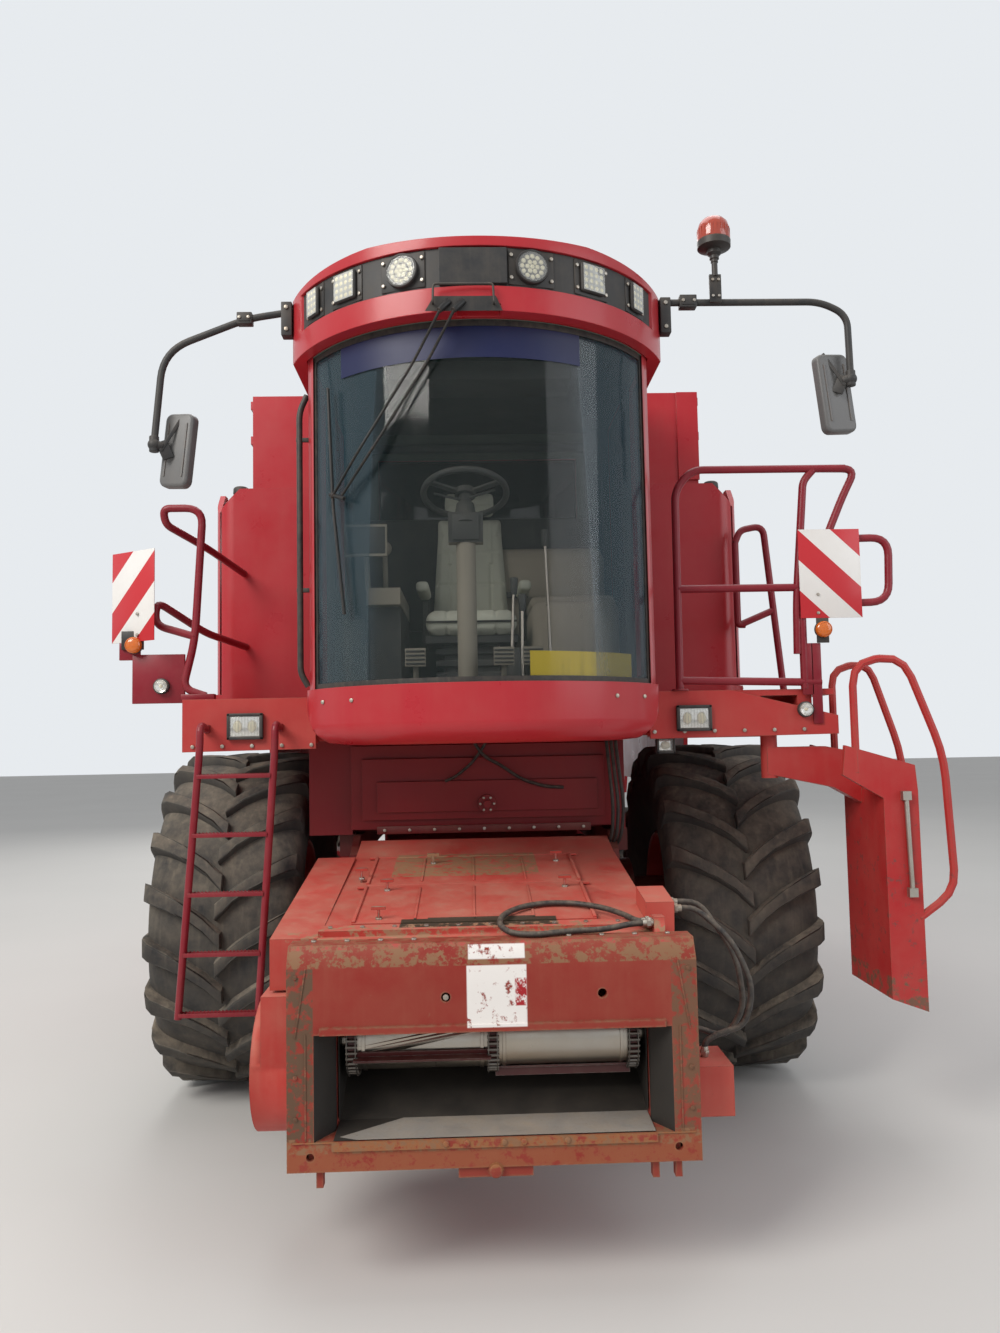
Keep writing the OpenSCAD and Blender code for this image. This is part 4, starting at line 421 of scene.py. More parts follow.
def make_grime():
    """A mask of dried dust on glass: more towards the foot and in streaks."""
    tree, given, out = new_group("grime", [("Amount", "NodeSocketFloat", 0.3)], [("Mask", "NodeSocketFloat")])
    place = place_in(tree)
    foot = span(tree, parts_of(tree, place)["Z"], 2.15, 3.1, 1.0, 0.18)
    cloud = span(tree, noise(tree, place, 2.6, 2.0, 0.5), 0.36, 0.72)
    streaks = span(tree, noise(tree, stretched(tree, place, 14.0, 0.9), 1.3, 2.0, 0.55), 0.45, 0.75)
    specks = span(tree, noise(tree, place, 34.0, 1.0, 0.5), 0.62, 0.74, 0.0, 0.4)
    film = plus(tree, times(tree, cloud, 0.55), times(tree, streaks, 0.45))
    mask = plus(tree, times(tree, times(tree, film, foot), given["Amount"]),
                times(tree, specks, times(tree, given["Amount"], 0.5)), True)
    tree.links.new(mask, out["Mask"])
    return tree


def finish_of(name, colour, roughness, metallic=0.0, coat=0.0, bump=0.15, **given):
    """A painted, plastic, rubber or metal finish with its own weathering."""
    material, tree, shader = new_material(name)
    group = add(tree, "ShaderNodeGroup", node_tree=GROUPS["weathering"])
    for key, value in {"colour": colour, "roughness": roughness, **given}.items():
        if value is not None:
            socket = group.inputs[key.replace("_", " ").capitalize()]
            socket.default_value = (*value, 1) if isinstance(value, tuple) else value
    relief = add(tree, "ShaderNodeBump", {"Strength": bump, "Distance": RELIEF, "Height": group.outputs["Height"]})
    for socket, value in (("Base Color", group.outputs["Colour"]), ("Roughness", group.outputs["Roughness"]),
                          ("Normal", relief.outputs[0])):
        tree.links.new(value, shader.inputs[socket])
    for socket, value in (("Metallic", metallic), ("Specular IOR Level", 0.5 if metallic else 0.32),
                          ("Coat Weight", coat), ("Coat Roughness", 0.15)):
        shader.inputs[socket].default_value = value
    return material


def clear_finish(name, colour, alpha, dust, roughness=0.04, tint_dust=(0.36, 0.31, 0.24), glance_colour=None):
    """Glass and clear lenses: see-through in front, brighter at a glance, with a painted reflection colour at a glance
    where one is given, and with dust that hides it.
    """
    material, tree, shader = new_material(name)
    mask = add(tree, "ShaderNodeGroup", {"Amount": dust}, node_tree=GROUPS["grime"]).outputs["Mask"]
    glance = add(tree, "ShaderNodeLayerWeight", {"Blend": 0.35}).outputs["Fresnel"]
    colour = (*colour, 1)
    # painted reflection: a bluish colour at grazing angles stands in for the sky's reflection
    if glance_colour:
        colour = blend_colour(tree, span(tree, glance, 0.05, 0.22), colour, (*glance_colour, 1))
    cover = maths(tree, "MAXIMUM", plus(tree, alpha, times(tree, glance, 0.55), True), mask)
    for socket, value in (("Alpha", cover), ("Base Color", blend_colour(tree, mask, colour, (*tint_dust, 1))),
                          ("Roughness", span(tree, mask, 0.0, 0.5, roughness, 0.75))):
        tree.links.new(value, shader.inputs[socket])
    shader.inputs["IOR"].default_value = 1.5
    shader.inputs["Specular IOR Level"].default_value = 0.8
    return material


def paint_over(material, share, colour):
    """Lays a colour over a finish, where the share says."""
    tree = material.node_tree
    base = tree.nodes["Principled BSDF"].inputs["Base Color"]
    tree.links.new(blend_colour(tree, share, base.links[0].from_socket, (*colour, 1)), base)


def lay_patch(material, box, colour, worn):
    """Paints a worn patch over a finish, between two values on each axis in millimetres."""
    tree = material.node_tree
    place = place_in(tree)
    parts = parts_of(tree, place)
    low, high = at(*(pair[0] for pair in box)), at(*(pair[1] for pair in box))
    inside = span(tree, noise(tree, place, 22.0, 9.0, 0.72), worn - 0.03, worn + 0.03, 1.0, 0.0)
    for axis in range(3):
        inside = times(tree, inside, within(tree, parts[axis], low[axis], high[axis], PATCH_EDGE))
    paint_over(material, inside, colour)


def lay_stripes(material, colour, slope, pitch, shift):
    """Slanting stripes over a finish, cut sharply, with a few scuffs."""
    tree = material.node_tree
    place = place_in(tree)
    parts = parts_of(tree, place)
    along = plus(tree, times(tree, parts["X"], slope), parts["Z"])
    turn = maths(tree, "FRACT", maths(tree, "DIVIDE", plus(tree, along, shift), pitch), 0.0)
    scuffs = span(tree, noise(tree, place, 16.0, 8.0, 0.7), 0.27, 0.31)
    paint_over(material, times(tree, within(tree, turn, 0.25, 0.75, 0.004), scuffs), colour)


# Painted and other finishes: name, colour, roughness, fading and its colour, dust and its colour, worn edges
# and their colour, rust, other settings. None takes the panel's colour, or the one that weathering has.
PAINTS = {
    "red": ("red_paint", None, 0.3, 0.4, (0.47, 0.045, 0.055), 0.18, None, 0.3, (0.13, 0.06, 0.04), 0.06,
            {"coat": 0.12}),
    # red of the body and elevators: the panel's red at half strength, darkened as painted shade where the body's front
    # stands in shadow; its dust and worn edges are real
    "shaded_red_body": ("red_body_paint", None, 0.4, 0.3, (0.26, 0.02, 0.025), 0.22, (0.25, 0.13, 0.09),
                 0.4, (0.12, 0.06, 0.04), 0.1, {}),
    "dark_red": ("dark_frame_paint", (0.12, 0.006, 0.009), 0.42, 0.35, (0.18, 0.022, 0.024),
                 0.5, (0.27, 0.19, 0.13), 0.5, (0.10, 0.05, 0.035), 0.2, {}),
    "feeder_red": ("feeder_paint", (0.42, 0.022, 0.018), 0.46, 0.75, (0.60, 0.105, 0.08),
                   0.42, (0.45, 0.29, 0.20), 0.7, (0.15, 0.07, 0.045), 0.3, {}),
    # red of the feeder's front face: darker than the feeder's paint as painted shade, since the face stands in shadow;
    # its dust, rust and worn edges are real
    "shaded_face_red": ("shaded_face_paint", (0.24, 0.016, 0.010), 0.5, 0.4, (0.31, 0.045, 0.03), 0.34, (0.36, 0.20, 0.12),
                 0.95, (0.24, 0.13, 0.075), 0.3, {"edge_width": 0.012}),
    "worn_red": ("ladder_paint", (0.42, 0.018, 0.02), 0.42, 0.6, (0.50, 0.075, 0.06), 0.26, None,
                 0.8, (0.2, 0.11, 0.07), 0.35, {}),
    "tube_red": ("tube_paint", (0.21, 0.007, 0.018), 0.33, 0.35, (0.29, 0.028, 0.04), 0.13, None,
                 0.3, (0.14, 0.07, 0.05), 0.12, {"size": 3.0}),
    "black": ("black_paint", (0.018, 0.018, 0.019), 0.42, 0.2, (0.06, 0.06, 0.06), 0.5, None,
              0.3, (0.10, 0.07, 0.05), 0.1, {}),
    "plastic": ("black_plastic", (0.022, 0.023, 0.025), 0.5, 0.35, (0.07, 0.07, 0.07), 0.32, None,
                0.1, (0.09, 0.09, 0.09), 0.0, {"bump": 0.25, "size": 2.0}),
    "inside": ("cab_lining", (0.085, 0.10, 0.085), 0.75, 0.4, (0.14, 0.15, 0.125), 0.35, (0.30, 0.28, 0.21),
               0.0, None, 0.0, {"size": 3.0}),
    "trim": ("cab_trim_plastic", (0.04, 0.043, 0.043), 0.55, 0.3, (0.09, 0.09, 0.085), 0.4, (0.26, 0.23, 0.18),
             0.05, None, 0.0, {"size": 3.0}),
    "steel": ("polished_steel", (0.40, 0.375, 0.34), 0.30, 0.5, (0.40, 0.33, 0.24), 0.32, (0.33, 0.24, 0.15),
              0.2, (0.2, 0.12, 0.07), 0.25, {"metallic": 1.0, "size": 2.0, "bump": 0.1}),
    "sheet_steel": ("worn_sheet_steel", (0.62, 0.60, 0.57), 0.42, 0.5, (0.42, 0.36, 0.30),
                    0.45, (0.42, 0.33, 0.23), 0.3, (0.15, 0.09, 0.06), 0.8, {"metallic": 0.5, "size": 2.0}),
    "zinc": ("zinc_bolts", (0.42, 0.40, 0.36), 0.38, 0.5, (0.25, 0.17, 0.10), 0.5, None,
             0.3, (0.2, 0.12, 0.08), 0.5, {"metallic": 0.9, "size": 6.0}),
    "chain": ("oiled_chain", (0.16, 0.15, 0.14), 0.35, 0.5, (0.08, 0.06, 0.045), 0.3, (0.2, 0.15, 0.1),
              0.3, (0.3, 0.28, 0.25), 0.3, {"metallic": 0.9, "size": 6.0}),
    "rubber": ("tyre_rubber", None, 0.78, 0.6, (0.075, 0.07, 0.065), 0.9, (0.26, 0.22, 0.17),
               0.25, (0.15, 0.14, 0.125), 0.0, {"size": 1.6, "bump": 0.35, "edge_width": 0.01}),
    "wiper": ("wiper_black", (0.012, 0.012, 0.012), 0.4, 0.15, (0.03, 0.03, 0.03), 0.05, None, 0.4, None, 0.1, {}),
    "hose": ("hose_rubber", (0.02, 0.02, 0.021), 0.45, 0.3, (0.06, 0.055, 0.05), 0.45, None, 0.0, None, 0.0,
             {"size": 6.0}),
    "chrome": ("chromed_rod", (0.72, 0.72, 0.71), 0.12, 0.1, (0.5, 0.48, 0.44), 0.2, None, 0.0, None, 0.1,
               {"metallic": 1.0}),
    "mirror_back": ("mirror_housing", (0.11, 0.112, 0.115), 0.33, 0.6, (0.19, 0.19, 0.19), 0.3, None,
                    0.4, None, 0.1, {}),
    "mirror": ("mirror_glass", (0.86, 0.87, 0.88), 0.03, 0.0, None, 0.12, None, 0.0, None, 0.0,
               {"metallic": 1.0, "bump": 0.0}),
    "reflector": ("lamp_reflector", (0.9, 0.89, 0.84), 0.12, 0.0, None, 0.1, None, 0.0, None, 0.0,
                  {"metallic": 1.0, "bump": 0.0}),
    "led": ("lamp_cells", (0.88, 0.83, 0.62), 0.25, 0.1, (0.7, 0.62, 0.4), 0.25, None, 0.0, None, 0.0,
            {"coat": 0.6, "bump": 0.05}),
    "board": ("board_film", (0.78, 0.76, 0.74), 0.32, 0.2, (0.7, 0.68, 0.62), 0.4, None,
              0.2, (0.3, 0.28, 0.26), 0.12, {"coat": 0.2}),
    "yellow": ("yellow_plate", (0.98, 0.72, 0.02), 0.4, 0.1, (0.92, 0.70, 0.10), 0.08, None, 0.05, None, 0.0, {}),
    "strip": ("sun_strip_film", (0.005, 0.009, 0.052), 0.42, 0.2, (0.014, 0.022, 0.10), 0.06, None,
              0.0, None, 0.0, {}),
    "cloth": ("seat_cloth", (0.58, 0.60, 0.50), 0.9, 0.5, (0.66, 0.66, 0.55), 0.3, (0.4, 0.33, 0.24),
              0.15, (0.2, 0.17, 0.13), 0.0, {"bump": 0.5, "size": 4.0}),
    "column": ("dusty_column", (0.27, 0.25, 0.20), 0.7, 0.6, (0.38, 0.34, 0.27), 0.5, (0.42, 0.37, 0.29),
               0.4, None, 0.1, {}),
    "lining": ("worn_upholstery", (0.38, 0.34, 0.27), 0.9, 0.5, (0.46, 0.41, 0.33), 0.3, (0.4, 0.34, 0.25),
               0.1, (0.16, 0.14, 0.1), 0.0, {"bump": 0.4, "size": 4.0}),
    # near-black sheet as painted shade, where the inside of the feeder's mouth lies in shadow
    "duct": ("dark_duct_sheet", (0.020, 0.019, 0.018), 0.55, 0.5, (0.035, 0.03, 0.026), 0.25, (0.10, 0.08, 0.06),
             0.2, (0.10, 0.08, 0.06), 0.3, {}),
    "slat": ("slat_paint", (0.060, 0.008, 0.010), 0.34, 0.5, (0.09, 0.018, 0.016), 0.12, None,
             0.9, (0.22, 0.2, 0.18), 0.1, {"edge_width": 0.004}),
}
# Clear finishes: name, colour, cover and dust, then other settings
CLEARS = {
    # the glance colours of the cab's glass are painted bluish reflections of the sky
    "glass": ("cab_glass", (0.010, 0.022, 0.020), 0.13, 0.26,
              {"tint_dust": (0.20, 0.19, 0.15), "glance_colour": (0.052, 0.095, 0.125)}),
    "side_glass": ("side_glass", (0.012, 0.024, 0.022), 0.36, 0.3, {"glance_colour": (0.05, 0.08, 0.10)}),
    # rear window: nearly opaque dark glass as painted shade over the lit tank wall behind it
    "shaded_rear_glass": ("shaded_rear_glass", (0.006, 0.010, 0.009), 0.86, 0.2, {}),
    "lens": ("clear_lens", (0.75, 0.76, 0.74), 0.16, 0.25, {}),
    "amber": ("amber_lens", (0.75, 0.17, 0.015), 0.82, 0.1, {"roughness": 0.12}),
    "beacon": ("beacon_lens", (0.38, 0.040, 0.012), 0.9, 0.1, {"roughness": 0.12}),
    "tail_red": ("tail_lens", (0.45, 0.01, 0.01), 0.88, 0.3, {"roughness": 0.12}),
}
# Dust, rust and worn paint: finish, limits on each axis in millimetres, colour, share left free
BROWN, RUSTY, WHITE = (0.25, 0.125, 0.065), (0.30, 0.115, 0.045), (0.80, 0.76, 0.73)
PATCHES = [
    ("shaded_face_red", ((-760, 760), (-2480, -2300), (1128, 1260)), BROWN, 0.50),
    ("shaded_face_red", ((-760, 760), (-2480, -2300), (1185, 1260)), (0.40, 0.07, 0.055), 0.44),
    ("shaded_face_red", ((-760, -628), (-2500, -2330), (540, 1128)), (0.115, 0.062, 0.036), 0.53),
    ("shaded_face_red", ((628, 760), (-2500, -2330), (540, 1128)), (0.16, 0.075, 0.042), 0.52),
    ("shaded_face_red", ((-760, 760), (-2490, -2470), (430, 545)), RUSTY, 0.56),
    ("shaded_face_red", ((-760, 760), (-2490, -2420), (500, 552)), BROWN, 0.48),
    ("shaded_face_red", ((-91, 119), (-2500, -2380), (915, 1126)), WHITE, 0.60),
    ("shaded_face_red", ((-85, 115), (-2500, -2340), (1146, 1192)), WHITE, 0.56),
    ("shaded_face_red", ((78, 119), (-2500, -2440), (985, 1080)), (0.36, 0.014, 0.02), 0.52),
    ("worn_red", ((1350, 2200), (-1500, -950), (630, 800)), (0.17, 0.085, 0.055), 0.47),
    ("worn_red", ((1350, 2200), (-1500, -950), (800, 1500)), (0.22, 0.05, 0.045), 0.40),
    ("feeder_red", ((-430, 235), (-1480, -1010), (1270, 1440)), (0.34, 0.20, 0.11), 0.54),
    ("feeder_red", ((-342, 255), (-2240, -2110), (1190, 1260)), (0.06, 0.045, 0.03), 0.72),
    ("feeder_red", ((-760, 760), (-2350, -2200), (1180, 1250)), (0.36, 0.20, 0.12), 0.47),
]
# Stripes of the boards: slope across and shift upwards in metres
STRIPES = {"board_left": (0.95, 0.2213), "board_right": (-1.12, 0.2206)}
STRIPE_RED, STRIPE_PITCH = (0.52, 0.022, 0.03), 0.30


def make_finishes(look):
    """Every finish of the machine, from the colours and amounts of the panel."""
    GROUPS["weathering"] = make_weathering()
    GROUPS["grime"] = make_grime()
    red, mud = tuple(look.red_paint), tuple(look.dust_colour)
    # the body's red is a darker copy of the panel's red, at half strength, as painted shade
    chosen = {"red": red, "shaded_red_body": tuple(c * 0.5 for c in red), "rubber": tuple(look.rubber)}
    for key, (name, colour, rough, fade, faded, dust, soil, edge, bare, rust, more) in PAINTS.items():
        FINISH[key] = finish_of(name, colour or chosen[key], rough, fade=fade, fade_colour=faded,
                                dust=dust * look.dust, dust_colour=soil or mud, edge_wear=edge * look.wear,
                                edge_colour=bare, rust=rust * look.wear, **more)
    for key, (name, colour, cover, dust, more) in CLEARS.items():
        FINISH[key] = clear_finish(name, colour, cover, dust * look.dust, **more)
    for key, box, colour, worn in PATCHES:
        lay_patch(FINISH[key], box, colour, worn)
    for key, (slope, shift) in STRIPES.items():
        FINISH[key] = FINISH["board"].copy()
        FINISH[key].name = key + "_film"
        lay_stripes(FINISH[key], STRIPE_RED, slope, STRIPE_PITCH, shift)


# Settings

class HarvesterLook(bpy.types.PropertyGroup):
    """Colours and amounts of the finishes."""
    red_paint: FloatVectorProperty(name="Red paint", description="Colour of the painted panels", size=3,
                                   subtype="COLOR", min=0.0, max=1.0, default=(0.41, 0.010, 0.019))
    rubber: FloatVectorProperty(name="Rubber", description="Colour of the tyres", size=3, subtype="COLOR",
                                min=0.0, max=1.0, default=(0.03, 0.03, 0.031))
    dust_colour: FloatVectorProperty(name="Dust", description="Colour of the dust", size=3, subtype="COLOR",
                                     min=0.0, max=1.0, default=(0.38, 0.30, 0.22))
    dust: FloatProperty(name="Dust amount", description="How dusty the machine is", min=0.0, max=2.0,
                        default=1.0, subtype="FACTOR")
    wear: FloatProperty(name="Wear", description="How worn the paint's edges are", min=0.0, max=2.0, default=1.0,
                        subtype="FACTOR")


class HarvesterSizes(bpy.types.PropertyGroup):
    """Sizes of fittings that a user may change."""
    edge: FloatProperty(name="Sheet edge", description="Rounding of the sheet metal's edges", unit="LENGTH",
                        min=0.0, max=0.02, default=0.005)
    rail: FloatProperty(name="Rail tube", description="Radius of the handrail tubes", unit="LENGTH", min=0.01,
                        max=0.024, default=0.019)
    lug_count: IntProperty(name="Front tyre lugs", description="Lugs on each half of a front tyre", min=12,
                           max=26, default=20)


class HarvesterStage(bpy.types.PropertyGroup):
    """Light and camera."""
    key_power: FloatProperty(name="Key light", description="Power of the main light", unit="POWER", min=0.0,
                             max=8000.0, default=1250.0)
    sky: FloatProperty(name="Sky light", description="Strength of the even light", min=0.0, max=2.0,
                       default=0.44, subtype="FACTOR")
    lens: FloatProperty(name="Lens", description="Focal length on a 36 mm side", min=15.0, max=90.0,
                        default=27.06, subtype="DISTANCE_CAMERA")


# Solids with softened edges

# Solids that keep their form: node, finish, rounding of their edges in millimetres
KEPT_FORMS = [
    ("main_frame", "dark_red", 4), ("front_axle", "dark_red", 4), ("threshing_body", "shaded_red_body", 4),
    ("grain_tank", "red", 5), ("side_shield_left", "red", 4), ("side_shield_right", "red", 4),
    ("side_door_left", "red", 5), ("engine_hood", "red", 5), ("engine_block", "black", 6),
    ("exhaust_stack", "black", 3), ("straw_hood", "red", 5), ("straw_chopper", "dark_red", 3),
    ("chopper_rotor", "sheet_steel", 1), ("rear_axle", "dark_red", 5), ("elevators", "shaded_red_body", 4),
    ("auger_riser", "red", 4), ("unload_auger", "red", 3), ("fuel_tank", "plastic", 12),
    ("operator_deck", "worn_red", 3), ("cab_apron", "red", 6), ("cab_roof", "red", 8),
    ("lamp_band", "plastic", 2), ("cab_door", "plastic", 4), ("seat_base", "trim", 4),
    ("rotary_screen", "black", 1), ("feeder_house", "feeder_red", 2.5), ("lift_barrels", "black", 2),
    ("lift_rods", "chrome", 1), ("front_rim_left", "worn_red", 2), ("front_rim_right", "worn_red", 2),
    ("rear_rim_left", "worn_red", 2), ("rear_rim_right", "worn_red", 2), ("knuckle_left", "dark_red", 3),
    ("knuckle_right", "dark_red", 3),
]


def in_cab(x, y, z):
    """The cab's inner faces."""
    return abs(x) < 741 and -1985 < y < -438 and 2085 < z < 3675


def pale_part(x, y, z):
    """The column, the pedals, the console's top and its screen."""
    return z < 2825 and (abs(x + 70) < 50 or (y < -1530 and z > 2105)) or x < -380 and z > 2555


def latch_strut(x, y, z):
    """The bare strut beside the boarding ladder."""
    return y < -1451.5 and 1900 < x < 1970


def in_throat(x, y, z):
    """The mouth's inner faces, which take the near-black painted shade."""
    return abs(x) < 622.5 and -2468 < y and 541 < z < 899


def off_drum(x, y, z):
    """What stands out from the front drum: chains and slats."""
    return math.hypot(y - DRUM[0], z - DRUM[1]) > 108.6


# Solids of two finishes: node, finishes, rounding, test of a face's middle that picks the second finish
TWO_FINISHES = [
    ("cab_shell", ("red", "inside"), 4, in_cab), ("cab_controls", ("trim", "column"), 4, pale_part),
    ("boarding_ladder", ("worn_red", "zinc"), 3, latch_strut), ("feeder_face", ("shaded_face_red", "duct"), 4, in_throat),
    ("feeder_conveyor", ("steel", "slat"), 0.8, off_drum),
]


# Points nearer than this are one, in metres; faces that turn by less are one, and edges that turn by more are
# rounded, or stay sharp in the shading, in degrees
JOIN_WITHIN, FLAT_WITHIN, ROUNDED_FROM, SHARP_FROM = 2e-5, 0.4, 32.0, 38.0


def refine(node, finishes, edge, second=None):
    """A copy of a solid whose faces are joined and whose edges are rounded stands for the solid."""
    bm = bmesh.new()
    bm.from_mesh(NODES[node].data)
    bmesh.ops.remove_doubles(bm, verts=bm.verts[:], dist=JOIN_WITHIN)
    bmesh.ops.dissolve_limit(bm, angle_limit=math.radians(FLAT_WITHIN), verts=bm.verts[:], edges=bm.edges[:])
    sharp = [e for e in bm.edges if bend_of(e) > ROUNDED_FROM]
    bevel_edges(bm, sharp, edge, clamp_overlap=True, loop_slide=True)
    bmesh.ops.dissolve_degenerate(bm, dist=1e-6, edges=bm.edges[:])
    for face in bm.faces:
        face.material_index = int(bool(second and second(*millimetres(face.calc_center_median()))))
    mesh = mesh_of(bm, node + "_finished")
    for key in finishes:
        mesh.materials.append(FINISH[key])
    mesh.set_sharp_from_angle(angle=math.radians(SHARP_FROM))
    piece = placed(node + "_finished", mesh)
    piece.modifiers.new("even_shading", "WEIGHTED_NORMAL").keep_sharp = True
    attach(piece, NODES[node]["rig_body"])
    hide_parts(node)


class HARVESTER_OT_finishes(bpy.types.Operator):
    """Makes the paints, rubbers, metals and glass"""
    bl_idname = "harvester.finishes"
    bl_label = "Make the finishes"

    def execute(self, context):
        make_finishes(context.scene.harvester_look)
        return {"FINISHED"}


class HARVESTER_OT_kept_forms(bpy.types.Operator):
    """Rounds the edges of the solids and gives them their finishes"""
    bl_idname = "harvester.kept_forms"
    bl_label = "Finish the solids"

    def execute(self, context):
        for node, finish, edge in KEPT_FORMS:
            refine(node, (finish,), edge / 1000.0)
        for node, finishes, edge, second in TWO_FINISHES:
            refine(node, finishes, edge / 1000.0, second)
        return {"FINISHED"}


# Camera, floor and light

CAMERA_PLACE = (-60, -6050, 1920)
CAMERA_ANGLES = (1.71, 4.08, 1.1)
SENSOR_WIDTH = 36.0
FLOOR_HALF = 60.0
# Area lights: name, place, aim, size, share of the key light's power, colour
LIGHTS = [
    ("key", (-7.5, -10.5, 9.5), (0, -1.5, 1.8), 6.0, 1.0, (1.0, 0.97, 0.92)),
    ("fill", (9.5, -9.0, 5.5), (0, -1.5, 1.8), 7.0, 0.26, (0.93, 0.96, 1.0)),
    ("back", (-3.0, 12.0, 9.0), (0, 1.0, 2.0), 7.0, 0.4, (1.0, 0.98, 0.95)),
    ("top", (0.0, -1.0, 11.0), (0, 0.0, 2.0), 8.0, 0.3, (1.0, 1.0, 1.0)),
]


class HARVESTER_OT_camera(bpy.types.Operator):
    """Sets the camera at the photograph's place and angle"""
    bl_idname = "harvester.camera"
    bl_label = "Set the camera"

    def execute(self, context):
        yaw, pitch, roll = (math.radians(a) for a in CAMERA_ANGLES)
        ahead = Vector((math.sin(yaw) * math.cos(pitch), math.cos(yaw) * math.cos(pitch), math.sin(pitch)))
        right = Vector((math.cos(yaw), -math.sin(yaw), 0.0))
        up = right.cross(ahead)
        right, up = right * math.cos(roll) - up * math.sin(roll), right * math.sin(roll) + up * math.cos(roll)
        lens = bpy.data.cameras.new("camera")
        lens.lens = context.scene.harvester_stage.lens
        lens.sensor_width = SENSOR_WIDTH
        lens.clip_start, lens.clip_end = 0.05, 300.0
        camera = placed("camera", lens)
        turn = Matrix((right, up, -ahead)).transposed().to_4x4()
        camera.matrix_world = Matrix.Translation(at(*CAMERA_PLACE)) @ turn
        context.scene.camera = camera
        return {"FINISHED"}


class HARVESTER_OT_stage(bpy.types.Operator):
    """Lays the pale floor and sets the soft light"""
    bl_idname = "harvester.stage"
    bl_label = "Set the stage"

    def execute(self, context):
        settings = context.scene.harvester_stage
        bm = bmesh.new()
        bmesh.ops.create_grid(bm, x_segments=8, y_segments=8, size=FLOOR_HALF)
        mesh = mesh_of(bm, "floor")
        placed("floor", mesh)
        material, tree, shader = new_material("pale_floor")
        tone = blend_colour(tree, noise(tree, place_in(tree), 0.35, 3.0), (0.60, 0.59, 0.57, 1), (0.66, 0.65, 0.63, 1))
        tree.links.new(tone, shader.inputs["Base Color"])
        shader.inputs["Roughness"].default_value = 0.85
        mesh.materials.append(material)

        world = bpy.data.worlds.new("studio")
        context.scene.world = world
        world.use_nodes = True
        tree = world.node_tree
        tree.nodes.clear()
        light = add(tree, "ShaderNodeBackground", {"Color": (0.95, 0.97, 1.0, 1), "Strength": settings.sky})
        shown = add(tree, "ShaderNodeBackground", {"Color": (0.80, 0.83, 0.86, 1), "Strength": 1.0})
        ray = add(tree, "ShaderNodeLightPath").outputs
        seen = maths(tree, "MAXIMUM", ray["Is Camera Ray"],
                     maths(tree, "MAXIMUM", ray["Is Glossy Ray"], ray["Is Transmission Ray"]))
        mix = add(tree, "ShaderNodeMixShader", {0: seen, 1: light.outputs[0], 2: shown.outputs[0]})
        add(tree, "ShaderNodeOutputWorld", {"Surface": mix.outputs[0]})

        for name, place, aim, size, share, colour in LIGHTS:
            lamp = bpy.data.lights.new(name, "AREA")
            lamp.size, lamp.energy, lamp.color = size, settings.key_power * share, colour
            holder = placed(name, lamp)
            holder.location = place
            holder.rotation_euler = (Vector(aim) - Vector(place)).to_track_quat("-Z", "Y").to_euler()
        context.scene.view_settings.view_transform = "Standard"
        return {"FINISHED"}


# Hoses beside the feeder

HOSE_R, COUPLING_R = 11, 14
HOSE_ROUTES = {
    "hose_upper": [(710.3, -2100, 1245), (800, -2100, 1245), (930, -2160, 1130), (1000, -2180, 950),
                   (960, -2180, 810), (860, -2190, 790), (800, -2195, 760), (800, -2195, 706.3)],
    "hose_lower": [(710.4, -2010, 1255), (835, -2010, 1255), (960, -2100, 1060), (980, -2110, 860),
                   (900, -2120, 750), (780, -2135, 800), (700.3, -2135, 800)],
    "hose_top": [(599.6, -2310, 1230), (520, -2310, 1228), (417, -2345, 1216), (275, -2350, 1213.5),
                 (160, -2398, 1213), (72, -2368, 1214), (32, -2290, 1228), (38, -2200, 1242), (75, -2110, 1249),
                 (135, -2035, 1255), (225, -1988, 1258), (341, -2000, 1257), (445, -2080, 1250),
                 (505, -2185, 1242), (545, -2278, 1231), (599.6, -2278, 1230)],
}
COUPLINGS = [((710, -2100, 1245), (748, -2100, 1245)), ((710, -2010, 1255), (750, -2013, 1254)),
             ((800, -2195, 707), (800, -2195, 745)), ((700.5, -2135, 800), (740, -2135, 800)),
             ((600, -2310, 1230), (560, -2310, 1229.5)), ((600, -2278, 1230), (560, -2278, 1230))]


class HARVESTER_OT_hoses(bpy.types.Operator):
    """Lays the loose hoses and their couplings"""
    bl_idname = "harvester.hoses"
    bl_label = "Lay the hoses"

    def execute(self, context):
        for name, route in HOSE_ROUTES.items():
            shape = Shape()
            shape.tube(route, HOSE_R, 120, sides=16, steps=4)
            hose = shape.done(name + "_rubber", "hose", "feeder", name)
        shape = Shape()
        for end, inner in COUPLINGS:
            shape.rod(end, inner, COUPLING_R, segments=18, bevel=1)
            shape.rod(between(end, inner, 0.25), between(end, inner, 0.62), COUPLING_R + 4, segments=6, bevel=1)
        shape.done("hose_couplings", "zinc", "feeder")
        return {"FINISHED"}


# Tyres

FRONT_WHEEL = (1350.0, 0.0, 930.0)
REAR_WHEEL = (1250.0, 3430.0, 630.0)
# Radius and width of a tyre, and the radius of its seat on the rim
FRONT_TYRE, REAR_TYRE = (930, 790, 415), (630, 380, 312.5)
LUG_HEIGHT = 45.0
NUT_COUNT = 10


def softened(points, passes=2):
    """Corner cutting: rounds an open line of pairs and keeps its ends."""
    for _ in range(passes):
        out = [points[0]]
        for a, b in zip(points, points[1:]):
            out += [between(a, b, 0.25), between(a, b, 0.75)]
        points = out + [points[-1]]
    return points


